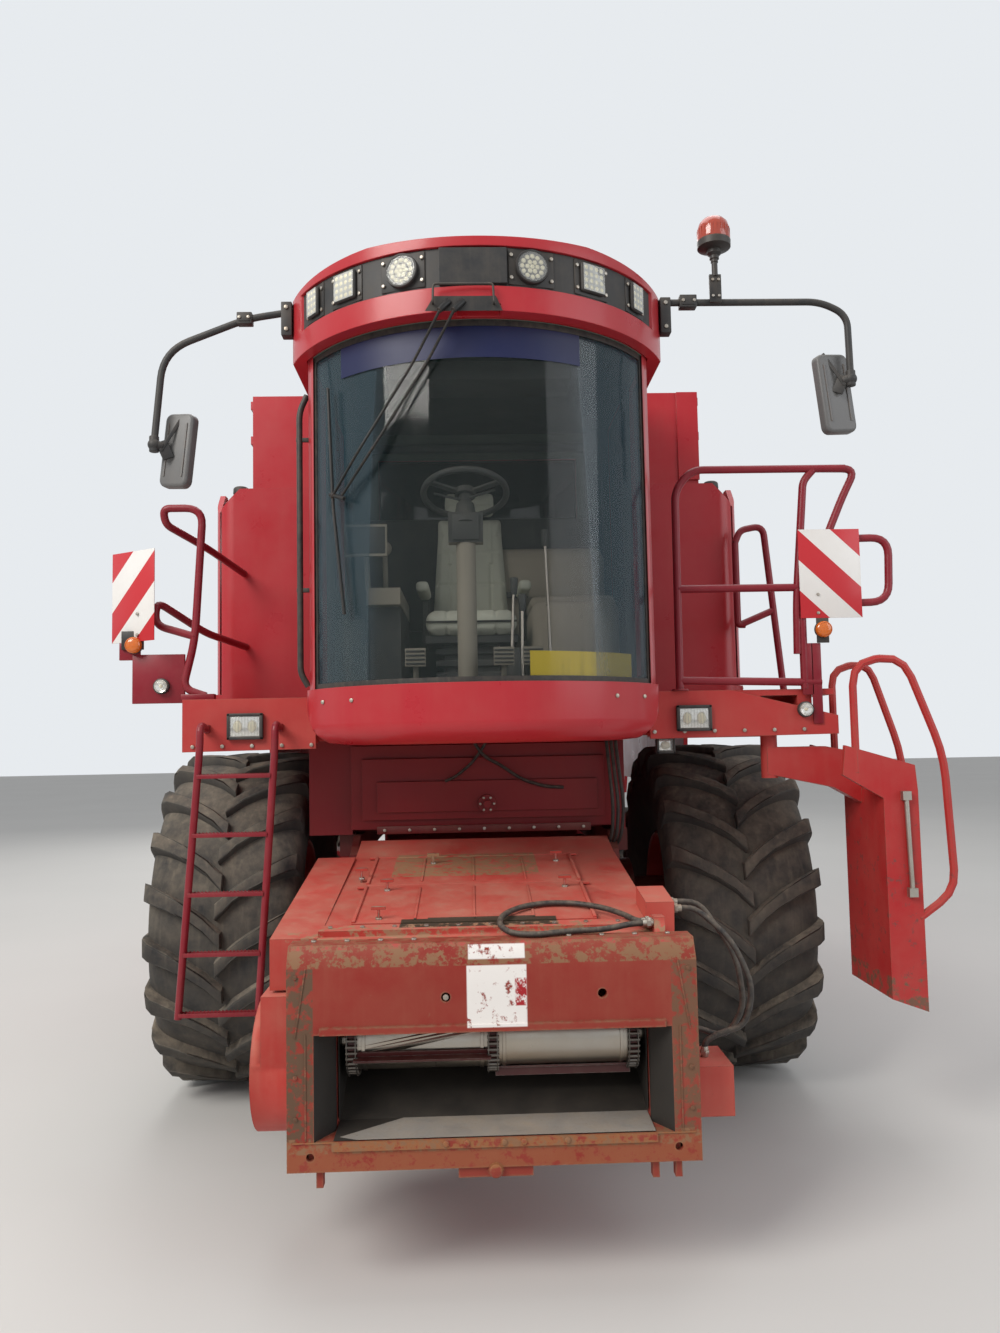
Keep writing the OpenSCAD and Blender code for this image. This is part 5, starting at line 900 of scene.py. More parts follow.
def make_lug(shape, centre, stations, way):
    """One lug: a section swept over stations of place across, foot, tip, angle and half width."""
    def corners(station):
        x, foot, tip, angle, wide = station
        return [at(centre[0] + way * x, centre[1] + r * math.sin(a), centre[2] + r * math.cos(a))
                for r, a in ((foot, math.radians(angle - wide - 0.7)), (foot, math.radians(angle + wide + 0.7)),
                             (tip, math.radians(angle + wide)), (tip, math.radians(angle - wide)))]
    ring = [shape.bm.verts.new(p) for p in corners(stations[0])]
    face = shape.bm.faces.new(ring)
    for station in stations[1:]:
        grown = bmesh.ops.extrude_face_region(shape.bm, geom=[face])["geom"]
        face = only(bmesh.types.BMFace, grown)[0]
        fresh = set(only(bmesh.types.BMVert, grown))
        ring = [next(e.other_vert(v) for e in v.link_edges if e.other_vert(v) in fresh) for v in ring]
        for vert, place in zip(ring, corners(station)):
            vert.co = place
    rims = [e for e in edges_of(island(ring[0])) if bend_of(e) > 50]
    new = bevel_edges(shape.bm, rims, 0.009, clamp_overlap=True)
    return island(new["faces"][0].verts[0])


def make_tyre(end, side, centre, r, width, seat_r, count):
    """A tyre with bent lugs on both halves of its tread. The end is front or rear, the side left or right."""
    body_r = r - LUG_HEIGHT
    wall, half = body_r - seat_r, width / 2
    section = [(seat_r, 0.39 * width), (seat_r + 0.12 * wall, 0.42 * width), (seat_r + 0.45 * wall, half - 8),
               (seat_r + 0.72 * wall, half - 8), (body_r - 0.13 * wall, 0.47 * width),
               (body_r - 0.03 * wall, 0.36 * width), (body_r, 0.12 * width)]
    line = softened([(a, -b) for a, b in section] + [(a, b) for a, b in reversed(section)])
    shape = Shape()
    shape.turned(line + [(seat_r + 14, 0.3 * width), (seat_r + 14, -0.3 * width), line[0]], centre, "X", 88)
    # bead ring on each side wall
    for sign in (-1, 1):
        ring = [(seat_r + 0.20 * wall, sign * (0.42 * width - 2)), (seat_r + 0.24 * wall, sign * (0.436 * width + 4)),
                (seat_r + 0.28 * wall, sign * (0.44 * width - 2))]
        shape.turned(ring + [ring[0]], centre, "X", 88)
    stations = [(-0.02 * width, body_r - 12, r, 0.0, 2.4), (0.09 * width, body_r - 13, r - 0.5, 5.2, 2.2),
                (0.20 * width, body_r - 14, r - 2, 9.0, 2.15), (0.32 * width, body_r - 0.07 * wall, r - 5, 12.2, 2.4),
                (0.44 * width, body_r - 0.16 * wall, r - 10, 15.0, 2.8),
                (0.48 * width, body_r - 0.22 * wall, body_r + 6, 16.0, 2.9),
                (0.497 * width, body_r - 0.30 * wall, body_r - 0.10 * wall, 16.5, 3.0)]
    # the second half's lugs lie between those of the first
    for flip, first in ((1, 0.0), (-1, 0.5)):
        made = make_lug(shape, centre, stations, flip * (1 if side == "left" else -1))
        geom = list({f for v in made for f in v.link_faces}) + edges_of(made) + made
        bmesh.ops.rotate(shape.bm, cent=at(*centre), verts=made, matrix=rotation(-360 * first / count, "X"))
        for i in range(1, count):
            verts = only(bmesh.types.BMVert, bmesh.ops.duplicate(shape.bm, geom=geom)["geom"])
            bmesh.ops.rotate(shape.bm, cent=at(*centre), verts=verts, matrix=rotation(-360 * i / count, "X"))
    shape.done("%s_tyre_%s_lugged" % (end, side), "rubber", "%s_wheel_%s" % (end, side),
               "%s_tyre_%s" % (end, side), smooth=42)


def wheel_nuts(body, centre, way, ring_r, face, hub_r):
    """A hub cap in a ring of nuts on their studs."""
    shape = Shape()
    x = centre[0] + way * face
    for z, y in circle(NUT_COUNT, ring_r):
        y, z = centre[1] + y, centre[2] + z
        shape.rod((x, y, z), (x + way * 62, y, z), 9, segments=12)
        shape.rod((x + way * 18, y, z), (x + way * 82, y, z), 15, segments=6, bevel=1.5)
    shape.rod((x, *centre[1:]), (x + way * 90, *centre[1:]), hub_r, hub_r * 0.86, 32, 4)
    shape.done("wheel_nuts_" + body, "zinc", body)


class HARVESTER_OT_tyres(bpy.types.Operator):
    """Makes the four lugged tyres and the wheels' nuts"""
    bl_idname = "harvester.tyres"
    bl_label = "Make the tyres"

    def execute(self, context):
        lugs = context.scene.harvester_sizes.lug_count
        for side, way in (("left", 1), ("right", -1)):
            front, rear = (way * FRONT_WHEEL[0], *FRONT_WHEEL[1:]), (way * REAR_WHEEL[0], *REAR_WHEEL[1:])
            make_tyre("front", side, front, *FRONT_TYRE, lugs)
            make_tyre("rear", side, rear, *REAR_TYRE, lugs - 2)
            wheel_nuts("front_wheel_" + side, front, way, 110, -58, 70)
            wheel_nuts("rear_wheel_" + side, rear, way, 78, -38, 48)
        return {"FINISHED"}


# Glass of the cab

CAB_ARC = (0.0, -1115.0)
# Radii of the windshield, its seals, the film before it and the bare plate behind it
GLASS_R, SEAL_R, FILM_R, PLATE_R = (867.5, 874.5), (864, 877), (874.7, 875.7), (861, 863.5)


def curved_sheet(name, finish, r, z, start, end, steps, node=None):
    """A sheet between two radii and two heights that follows the curve of the cab's front."""
    shape = Shape()
    shape.arc(r, z, CAB_ARC, start, end, steps)
    shape.done(name, finish, stands_for=node, smooth=30)


class HARVESTER_OT_glass(bpy.types.Operator):
    """Curves the windshield and sets the cab's glass, seals, strip and bare plate"""
    bl_idname = "harvester.glass"
    bl_label = "Glaze the cab"

    def execute(self, context):
        curved_sheet("windshield", "glass", GLASS_R, (2146, 3659), -58.6, 58.6, 72, "cab_glass")
        shape = Shape()
        for x in (-770, 762):
            shape.block((x, x + 8), (-1489, -1261), (2201, 3609), 1)
        shape.block((-770, -762), (-1189, -561), (2701, 3609), 1)
        shape.done("side_windows", "side_glass", smooth=30)
        refine("door_glass", ("side_glass",), context.scene.harvester_sizes.edge)
        shape = Shape()
        shape.block((-559, 559), (-420, -412), (2851, 3499), 1)
        shape.done("rear_window", "shaded_rear_glass", smooth=30)
        # rubber seals round the panes
        shape = Shape()
        for z in ((2144, 2172), (3634, 3660)):
            shape.arc(SEAL_R, z, CAB_ARC, -58.8, 58.8, 72)
        for a in (-58.8, 57.0):
            shape.arc(SEAL_R, (2150, 3655), CAB_ARC, a, a + 1.8, 3)
        for x in (-774, 766):
            for y in (-1492, -1274):
                shape.block((x, x + 8), (y, y + 16), (2198, 3612), 2)
        for y in (-1194, -576):
            shape.block((-778, -766), (y, y + 20), (2694, 3616), 2)
        for z in (2694, 3600):
            shape.block((-778, -766), (-1194, -556), (z, z + 18), 2)
        for x in (-572, 552):
            shape.block((x, x + 20), (-424, -404), (2840, 3510), 2)
        for z in (2838, 3492):
            shape.block((-572, 572), (-424, -404), (z, z + 20), 2)
        shape.done("window_seals", "hose", smooth=30)
        curved_sheet("sun_strip", "strip", FILM_R, (3500, 3633), -43.5, 29.5, 48)
        curved_sheet("bare_plate", "yellow", PLATE_R, (2174, 2276), 12.5, 48.5, 30)
        return {"FINISHED"}


# Lamps

# Lamps of the roof's band: angle round the curve, half the width, whether it is round
ROOF_LAMPS = [(-52, 45, False), (-38, 62, False), (-20, 72, True), (14, 72, True), (32, 62, False), (50, 45, False)]
ROOF_LAMP_Z = 3852
VISOR_ARC = (0.0, -1160.0)
BAND_FRONT = VISOR_ARC[1] - 908.0
DECK_FRONT = -1250


class HARVESTER_OT_lamps(bpy.types.Operator):
    """Makes the roof lamps with their cells, the headlamps and the marker lamps"""
    bl_idname = "harvester.lamps"
    bl_label = "Make the lamps"

    def execute(self, context):
        trays, bodies, cells, lenses, bolts, mirrors = Shape(), Shape(), Shape(), Shape(), Shape(), Shape()
        y0, z0 = BAND_FRONT, ROOF_LAMP_Z
        for angle, half, is_round in ROOF_LAMPS:
            wide = half + 26
            parts = [(trays, trays.block((-wide, wide), (y0 - 2, y0 + 6), (z0 - 76, z0 + 76), 3))]
            if is_round:
                profile = [(half - 9, 20), (half - 9, 27), (half - 2, 27), (half, 22), (half, 10)]
                parts += [(bodies, bodies.rod((0, y0 - 2, z0), (0, y0 - 20, z0), half, half, 40, 3)),
                          (bodies, bodies.turned(profile, (0, y0, z0), "-Y", 40)),
                          (lenses, lenses.rod((0, y0 - 22.5, z0), (0, y0 - 25, z0), half - 9, half - 9, 40))]
                spots, size = [(0, 0)] + circle(6, 21) + circle(12, 44), 10.5
            else:
                parts += [(bodies, bodies.block((-half, half), (y0 - 21, y0 - 2), (z0 - 62, z0 + 62), 9, 3)),
                          (lenses, lenses.block((5 - half, half - 5), (y0 - 25, y0 - 22.6), (z0 - 57, z0 + 57), 1))]
                count = 4 if half > 50 else 3
                step = 2 * (half - 8) / count
                spots = [((i - (count - 1) / 2) * step, (j - 1.5) * 27.5) for i in range(count) for j in range(4)]
                size = min(step, 27.5) * 0.44
            parts += [(cells, cells.ball((x, y0 - 20, z0 + z), (size, 4.2, size), 12, 6)) for x, z in spots]
            parts += [(bolts, bolts.bolt(x, y0 - 1, z0 + z, 8, 9, 12, 2)) for x in (-half - 15, half + 15)
                      for z in (-48, 48)]
            for shape, made in parts:
                shape.swing(made, VISOR_ARC, angle)
        # headlamps in the deck's beam
        y = DECK_FRONT
        for x in (-1130, 1010):
            bodies.block((x - 85, x + 85), (y - 20, y - 0.5), (1935, 2060), 8, 3)
            for a, b in ((-85, -69), (69, 85)):
                bodies.block((x + a, x + b), (y - 28, y - 18), (1935, 2060), 4)
            for z in ((1935, 1950), (2045, 2060)):
                bodies.block((x - 85, x + 85), (y - 28, y - 18), z, 4)
            mirrors.slab((x, y - 20.2, 1997), (136, 1.6, 92), bevel=0.5)
            for i in (-1, 1):
                cells.ball((x + i * 34, y - 21, 1997), (22, 5, 30), 20, 10)
            lenses.slab((x, y - 25.4, 1997), (139, 3, 95), bevel=1)
            for i in range(9):
                lenses.slab((x - 60 + i * 15, y - 27.2, 1997), (2.2, 1.4, 92))
        # marker lamps: clear at the front of the right post and of the left beam
        for x, y, z in ((-1551, -1160.3, 2200), (1552, -1250.3, 2030)):
            bodies.rod((x, y, z), (x, y - 26, z), 38, 38, 32, 3)
            lenses.turned([(0.1, 45), (16, 43.5), (27, 38), (33, 30), (34, 25), (0.1, 25)], (x, y, z), "-Y", 32)
            mirrors.turned([(0.1, 26.5), (26, 28), (31, 30), (31, 26), (0.1, 25.4)], (x, y, z), "-Y", 32)
            cells.ball((x, y - 31, z), (8, 6, 8), 12, 8)
        # work lamp under the deck at the left
        bodies.block((835, 925), (-1200, -1170), (1830, 1911), 6)
        for x in ((835, 847), (913, 925)):
            bodies.block(x, (-1220, -1198), (1830, 1911), 3)
        for z in ((1830, 1842), (1899, 1911)):
            bodies.block((835, 925), (-1220, -1198), z, 3)
        mirrors.slab((880, -1200.6, 1870), (66, 1.2, 57), bevel=0.3)
        cells.ball((880, -1202, 1870), (24, 6, 20), 16, 8)
        lenses.slab((880, -1214, 1870), (67, 3, 58), bevel=0.6)
        bodies.done("lamp_bodies", "plastic", stands_for="lamps")
        trays.done("lamp_trays", "black")
        cells.done("lamp_cell_domes", "led")
        mirrors.done("lamp_reflectors", "reflector")
        lenses.done("lamp_lenses", "lens")
        bolts.done("lamp_bolts", "zinc")
        return {"FINISHED"}


# Rails, ladder and pipe outside the cab

DECK_TOP = 2130
LEFT_RAIL_Y, RIGHT_RAIL_Y, BACK_RAIL_Y = -1244, -1150, -520
LADDER_FRONT = -1380
RUNG_COUNT, TOP_RUNG_Z, RUNG_SPAN = 5, 1769, 1070


class HARVESTER_OT_rails(bpy.types.Operator):
    """Bends the handrails and the service ladder from round tube"""
    bl_idname = "harvester.rails"
    bl_label = "Bend the rails"

    def execute(self, context):
        r = context.scene.harvester_sizes.rail * 1000
        top, y, back = DECK_TOP, LEFT_RAIL_Y, BACK_RAIL_Y
        shape = Shape()
        for corners in (
                [(950, y, top + 1), (956, y, 3113), (1040, y, 3213), (1801, y, 3213)],
                [(1530, y, 2300), (1536, y, 2562), (1590, y, 3150), (1640, y, 3205)],
                [(955, y, 2625), (1545, y, 2625)],
                [(1640, y, 3213), (1860, y + 10, 3213), (1790, y + 10, 3080), (1560, y, 2560), (1560, y, top)],
                [(1692, y + 10, 2862), (2006, y + 10, 2868), (1995, y + 10, 2550), (1560, y + 10, 2540)],
                [(955, y, 2180), (1640, y, 2160)],
                [(1440, back, 2990), (1470, back, 3060), (1600, back, 3085), (1685, back, top + 10)],
                [(1465, back, 2530), (1645, back, 2605)],
                [(1440, back, 2990), (1440, back, 2525), (1480, back, 2525)]):
            shape.tube(corners, r)
        for box in (((1592, 1640), (-1259, -1250.3), (1960, 2350)), ((1545, 1600), (-1259, -1247), (2100, 2350)),
                    ((1560, 1830), (-1265.7, -1238), (2620, 2660)),
                    ((1650, 1703), (-550, -490), (top + 0.3, top + 12))):
            shape.block(*box, 2)
        shape.rod((950, y, top + 0.5), (950, y, top + 9), 42, 38, 24)
        shape.done("left_rails", "tube_red", stands_for="deck_rail_left")
        shape, y = Shape(), RIGHT_RAIL_Y
        shape.tube([(-1345, y, top + 20), (-1455, y, 2190), (-1398, y, 2425), (-1360, y, 3076), (-1555, y, 3076),
                    (-1548, y + 20, 3000), (-1400, y + 200, 2920), (-1310, -470, 2860)], r)
        shape.tube([(-1395, y, 2440), (-1591, y, 2500), (-1591, y + 20, 2620), (-1400, y + 200, 2480),
                    (-1300, -470, 2450)], r)
        shape.block((-1696, -1445), (y - 10, y + 8), (2118, 2356), 2)
        shape.block((-1460, -1300), (y - 22, y + 22), (top + 0.3, top + 30), 3)
        shape.block((-1760, -1660), (y - 8, y + 8), (2330, 2415), 2)
        shape.done("right_rails", "tube_red", stands_for="deck_rail_right")
        # service ladder: bent stiles and serrated rungs
        shape, front = Shape(), LADDER_FRONT
        for x0, x1 in ((-1311, -1407), (-967, -1047)):
            shape.tube([(x0, -1272, 1990), (x0, front, 2010), (x0 - 1, front, 1900), (x1, front, 680)], 17, 70)
            shape.block((x0 - 14, x0 + 14), (-1280, -1250.3), (1970, 2008), 3)
        for i in range(RUNG_COUNT):
            z = TOP_RUNG_Z - i * RUNG_SPAN / (RUNG_COUNT - 1)
            lean = (1975 - z) * 96 / 1295
            ends = (-1306 - lean, -972 - lean * 0.83)
            for y_ends, z_ends in (((-21, -17), (-10, 8)), ((17, 21), (-10, 8)), ((-20, 20), (-10, -6))):
                shape.block(ends, tuple(front + v for v in y_ends), tuple(z + v for v in z_ends), 1)
            teeth = int((ends[1] - ends[0]) / 16)
            for k in range(teeth):
                x = ends[0] + (k + 0.5) * (ends[1] - ends[0]) / teeth
                for y in (front - 19, front + 19):
                    shape.slab((x, y, z + 8), (8, 3.6, 5.6), (0, 45, 0))
                shape.slab((x, front, z - 5.4), (8, 34, 2))
        shape.done("service_ladder_tubes", "tube_red", stands_for="service_ladder", slot="dark_frame")
        # air tube beside the windshield
        shape = Shape()
        shape.tube([(-796, -1480, 3520), (-830, -1485, 3440), (-830, -1485, 2230), (-796, -1480, 2170)], 14, 60)
        for z in (2600, 3300):
            shape.block((-846, -780.3), (-1490, -1475), (z, z + 20), 3)
        shape.done("air_tube", "hose", stands_for="vent_tube")
        return {"FINISHED"}


# Mirrors, beacon, boards, wiper

MIRROR_Y = -1500
# Mirrors: name, node, points of the arm, foot on the roof and clamp (two x, two z), ball,
# then the head's middle, width, height, turn and lean
MIRRORS = [
    ("mirror_right_arm", "mirror_right", [(-890, 3907), (-1067, 3880), (-1450, 3730), (-1490, 3300)],
     ((-905, -855.5), (3790, 3950)), ((-1110, -1040), (3850, 3905)), (-1490, 3290),
     ((-1392, MIRROR_Y + 44, 3272), 152, 346, -20, 6)),
    ("mirror_left_arm", "mirror_left", [(890, 3944), (1620, 3944), (1745, 3880), (1750, 3580)],
     ((855.5, 905), (3790, 3960)), ((950, 1030), (3915, 3975)), (1750, 3570),
     ((1688, MIRROR_Y + 46, 3514), 172, 380, 16, -6)),
]
BEACON = (1118, -1525)


def mirror_head(housing, glass, middle, w, h, turn, lean):
    """A mirror with rounded corners in its housing, whose ribbed back looks at whoever stands in front."""
    sets = []
    for shape, size, y, corner in ((housing, (w, 46, h), 0, 34), (glass, (w - 26, 3, h - 30), 23.5, 22)):
        made = cube(shape.bm, size)
        upright = [e for e in edges_of(made) if abs((e.verts[0].co - e.verts[1].co).y) > 1e-4]
        made = island(bevel_edges(shape.bm, upright, corner / 1000.0, 5)["verts"][0])
        if shape is housing:
            back = [e for e in edges_of(made) if bend_of(e) > 70 and max(v.co.y for v in e.verts) < 0]
            new = bevel_edges(shape.bm, back, 0.016, 4, clamp_overlap=True)
            made = island(new["faces"][0].verts[0])
        sets.append((shape, made, (0, y, 0)))
    sets += [(housing, cube(housing.bm, (7, 6, h * 0.72)), (w * x, -24.5, 0)) for x in (-0.32, 0.32)]
    place = Matrix.Translation(at(*middle)) @ rotation(lean, "Y") @ rotation(turn, "Z")
    for shape, made, shift in sets:
        bmesh.ops.transform(shape.bm, verts=made, matrix=place @ Matrix.Translation(Vector(shift) / 1000.0))


class HARVESTER_OT_mirrors(bpy.types.Operator):
    """Makes the mirrors on their arms and the beacon"""
    bl_idname = "harvester.mirrors"
    bl_label = "Make the mirrors and beacon"

    def execute(self, context):
        y = MIRROR_Y
        for name, node, arm, (foot_x, foot_z), (clamp_x, clamp_z), (x, z), head in MIRRORS:
            shape, glass, bolts, back = Shape(), Shape(), Shape(), Shape()
            side = math.copysign(1, x)
            shape.tube([(a, y, b) for a, b in arm], 16, 130, sides=18, steps=8)
            shape.block(foot_x, (y - 30, y + 30), foot_z, 4)
            shape.block(clamp_x, (y - 24, y + 24), clamp_z, 4)
            shape.block((clamp_x[0] + 8, clamp_x[1] - 8), (y - 28, y + 28), (clamp_z[0] + 10, clamp_z[1] - 10), 3)
            shape.ball((x, y, z), (29, 29, 29), 20, 14)
            # clamp on the arm, and the strap that carries the head
            shape.rod((x, y, z - 34), (x, y, z + 40), 22, 22, 20, 4)
            shape.rod((x, y, z), (x - side * 40, y + 8, z - 6), 26, 17, 20, 3)
            shape.slab((x - side * 46, y + 10, z - 22), (52, 16, 86), (0, side * 24, side * -20), 5)
            shape.slab((x - side * 74, y + 13, z + 52), (16, 10, 190), (0, side * -30, side * -20), 3)
            mirror_head(back, glass, *head)
            back.done(name + "_head", "mirror_back")
            for bolt_z in (foot_z[0] + 28, foot_z[1] - 28):
                bolts.bolt(sum(foot_x) / 2, y - 28, bolt_z, 10, 9)
            for bolt_x in (clamp_x[0] + 14, clamp_x[1] - 14):
                bolts.bolt(bolt_x, y - 24, sum(clamp_z) / 2, 8, 9)
            shape.done(name, "plastic", stands_for=node)
            glass.done(name + "_glass", "mirror")
            bolts.done(name + "_bolts", "zinc")
        # beacon on the left arm
        x, y = BEACON
        shape = Shape()
        shape.block((1090, 1146), (-1532, -1516.3), (3933, 4068), 3)
        shape.rod((x, y, 4060), (x, y, 4132), 14)
        shape.turned([(0.1, 4126), (17, 4126), (17, 4138), (22, 4142), (22, 4156), (34, 4168), (34, 4184), (60, 4190),
                      (77, 4196), (78, 4226), (72, 4232), (0.1, 4232)], (x, y, 0), "Z", 40)
        shape.done("beacon_base", "black", stands_for="beacon")
        shape = Shape()
        shape.turned([(0.1, 4230), (74, 4230), (76, 4238), (74, 4286), (66, 4312), (50, 4330), (26, 4339),
                      (0.1, 4341)], (x, y, 0), "Z", 48)
        for i in range(24):
            shape.swing(shape.slab((x, y - 75.4, 4262), (3, 1.8, 46)), BEACON, 15 * i)
        shape.done("beacon_dome", "beacon")
        shape = Shape()
        for z in (3962, 4040):
            for x in (1104, 1132):
                shape.bolt(x, -1532, z, 7, 8)
        shape.done("beacon_bolts", "zinc")
        return {"FINISHED"}


class HARVESTER_OT_boards(bpy.types.Operator):
    """Makes the striped boards with their orange lamps"""
    bl_idname = "harvester.boards"
    bl_label = "Make the boards"

    def execute(self, context):
        shape = Shape()
        shape.block((1545, 1847), (-1272, -1268), (2470, 2905), 1.2)
        shape.done("left_board", "board_left", stands_for="warning_boards")
        shape, turn = Shape(), -32
        shape.slab((-1690 + math.sin(math.radians(turn)) * 3, -1167, 2640), (300, 4, 444), (0, 0, turn), 1.2)
        shape.done("right_board", "board_right")
        back, amber, bolts = Shape(), Shape(), Shape()
        back.block((1620, 1680), (-1271, -1262.5), (2350, 2475), 2)
        back.block((-1745, -1640), (-1174, -1158.5), (2380, 2470), 2)
        for x, y, z in ((1650, -1266, 2414), (-1682, -1170, 2400)):
            back.rod((x, y, z), (x, y - 12, z), 42, 42, 32, 2)
            amber.turned([(0.1, 12), (39, 12), (39, 26), (35, 34), (26, 39), (12, 40.5), (0.1, 40.8)], (x, y, z),
                         "-Y", 36)
            for i in range(4):
                amber.turned([(8 + i * 8, 38), (10 + i * 8, 41.3 - i * 1.6), (12 + i * 8, 38 - i)], (x, y, z), "-Y", 36)
        for x, z in ((1633, 2585), (1630, 2495)):
            bolts.bolt(x, -1271.5, z, 8, 5.5, 12, 1.5)
        for z in (2551, 2449):
            bolts.rod((-1661, -1190, z), (-1665, -1197, z), 8, 8, 12, 1.5)
        back.done("board_brackets", "black", slot="black_metal")
        amber.done("orange_lamps", "amber")
        bolts.done("board_bolts", "zinc")
        return {"FINISHED"}


VISOR_FRONT = -2080


class HARVESTER_OT_wiper(bpy.types.Operator):
    """Makes the wiper with its two arms and blade"""
    bl_idname = "harvester.wiper"
    bl_label = "Make the wiper"

    def execute(self, context):
        front = VISOR_FRONT
        shape = Shape()
        for x, foot in ((-120, -646), (-62, -594)):
            shape.rod((x, front + 2, 3700), (x - 42, front - 20, 3652), 15, 12, 18, 3)
            shape.tube([(x - 38, front - 18, 3656), (x - 150, -2006, 3480), (foot + 130, -1925, 3120),
                        (foot, -1768 - (foot + 646) * 0.9, 2968)], 6.0, 60, sides=10)
        shape.rod((-652, -1757, 2985), (-585, -1824, 2950), 9, segments=16)
        shape.tube([(-662, -1742, 3461), (-640, -1768, 2930), (-590, -1812, 2457)], 7, 60, sides=10)
        shape.done("wiper_arms", "wiper", stands_for="wiper")
        shape = Shape()
        upper, middle, lower = (-660, -1732, 3461), (-637, -1759, 2930), (-587, -1803, 2457)
        for a, b in ((upper, middle), (middle, lower)):
            shape.tube([a, between(a, b, 0.5), b], 4, 60, sides=8)
        shape.done("wiper_rubber", "wiper")
        # wire guard over the wiper's motor
        shape = Shape()
        shape.tube([(-187, front + 2, 3690), (-187, front - 22, 3684), (-184, front - 22, 3762),
                    (59, front - 22, 3762), (62, front - 22, 3682), (62, front + 2, 3688)], 5, 14, sides=10)
        shape.plate([(x, front - 0.8, z) for x, z in ((-219, 3658), (97, 3658), (71, 3720), (-183, 3720))],
                    1.0, (0, -1, 0))
        shape.done("motor_guard", "black", slot="black_metal")
        return {"FINISHED"}


# Feeder

FEEDER_SLOPE = math.atan2(165, 1350)
# Places along and up of the conveyor's two shafts, with the radii of its drum and its sprockets
DRUM, TAIL, DRUM_R, TAIL_R = (-2215.0, 815.0), (-940.0, 1254.0), 108.0, 34.0
CHAIN_PITCH = 38
CHAIN_XS = (-512, 0, 512)


def feeder_top(y):
    """Height of the feeder's sloping top at a place along the machine."""
    return 1185 + (y + 2350) * math.tan(FEEDER_SLOPE)


def chain_links(links, x):
    """The links of one chain: round the front drum, and along both straight runs behind it."""
    base = math.atan2(TAIL[1] - DRUM[1], TAIL[0] - DRUM[0])
    tilt = math.acos((DRUM_R - TAIL_R) / math.hypot(TAIL[0] - DRUM[0], TAIL[1] - DRUM[1]))
    count = 18
    for i in range(count + 1):
        a = base + tilt + (math.tau - 2 * tilt) * i / count
        y, z = DRUM[0] + (DRUM_R + 13) * math.cos(a), DRUM[1] + (DRUM_R + 13) * math.sin(a)
        links.rod((x - 21, y, z), (x + 21, y, z), 7, segments=10)
        for k in (-17, 15):
            links.slab((x + k, y, z), (4, 18, 34), (math.degrees(a), 0, 0), 1)
    for a, way in ((base + tilt, base + tilt - math.pi / 2), (base - tilt, base + math.pi / 2 - tilt)):
        y0, z0 = DRUM[0] + (DRUM_R + 12) * math.cos(a), DRUM[1] + (DRUM_R + 12) * math.sin(a)
        for i in range(1, 14):
            y, z = y0 + i * CHAIN_PITCH * math.cos(way), z0 + i * CHAIN_PITCH * math.sin(way)
            links.rod((x - 21, y, z), (x + 21, y, z), 7, segments=10)


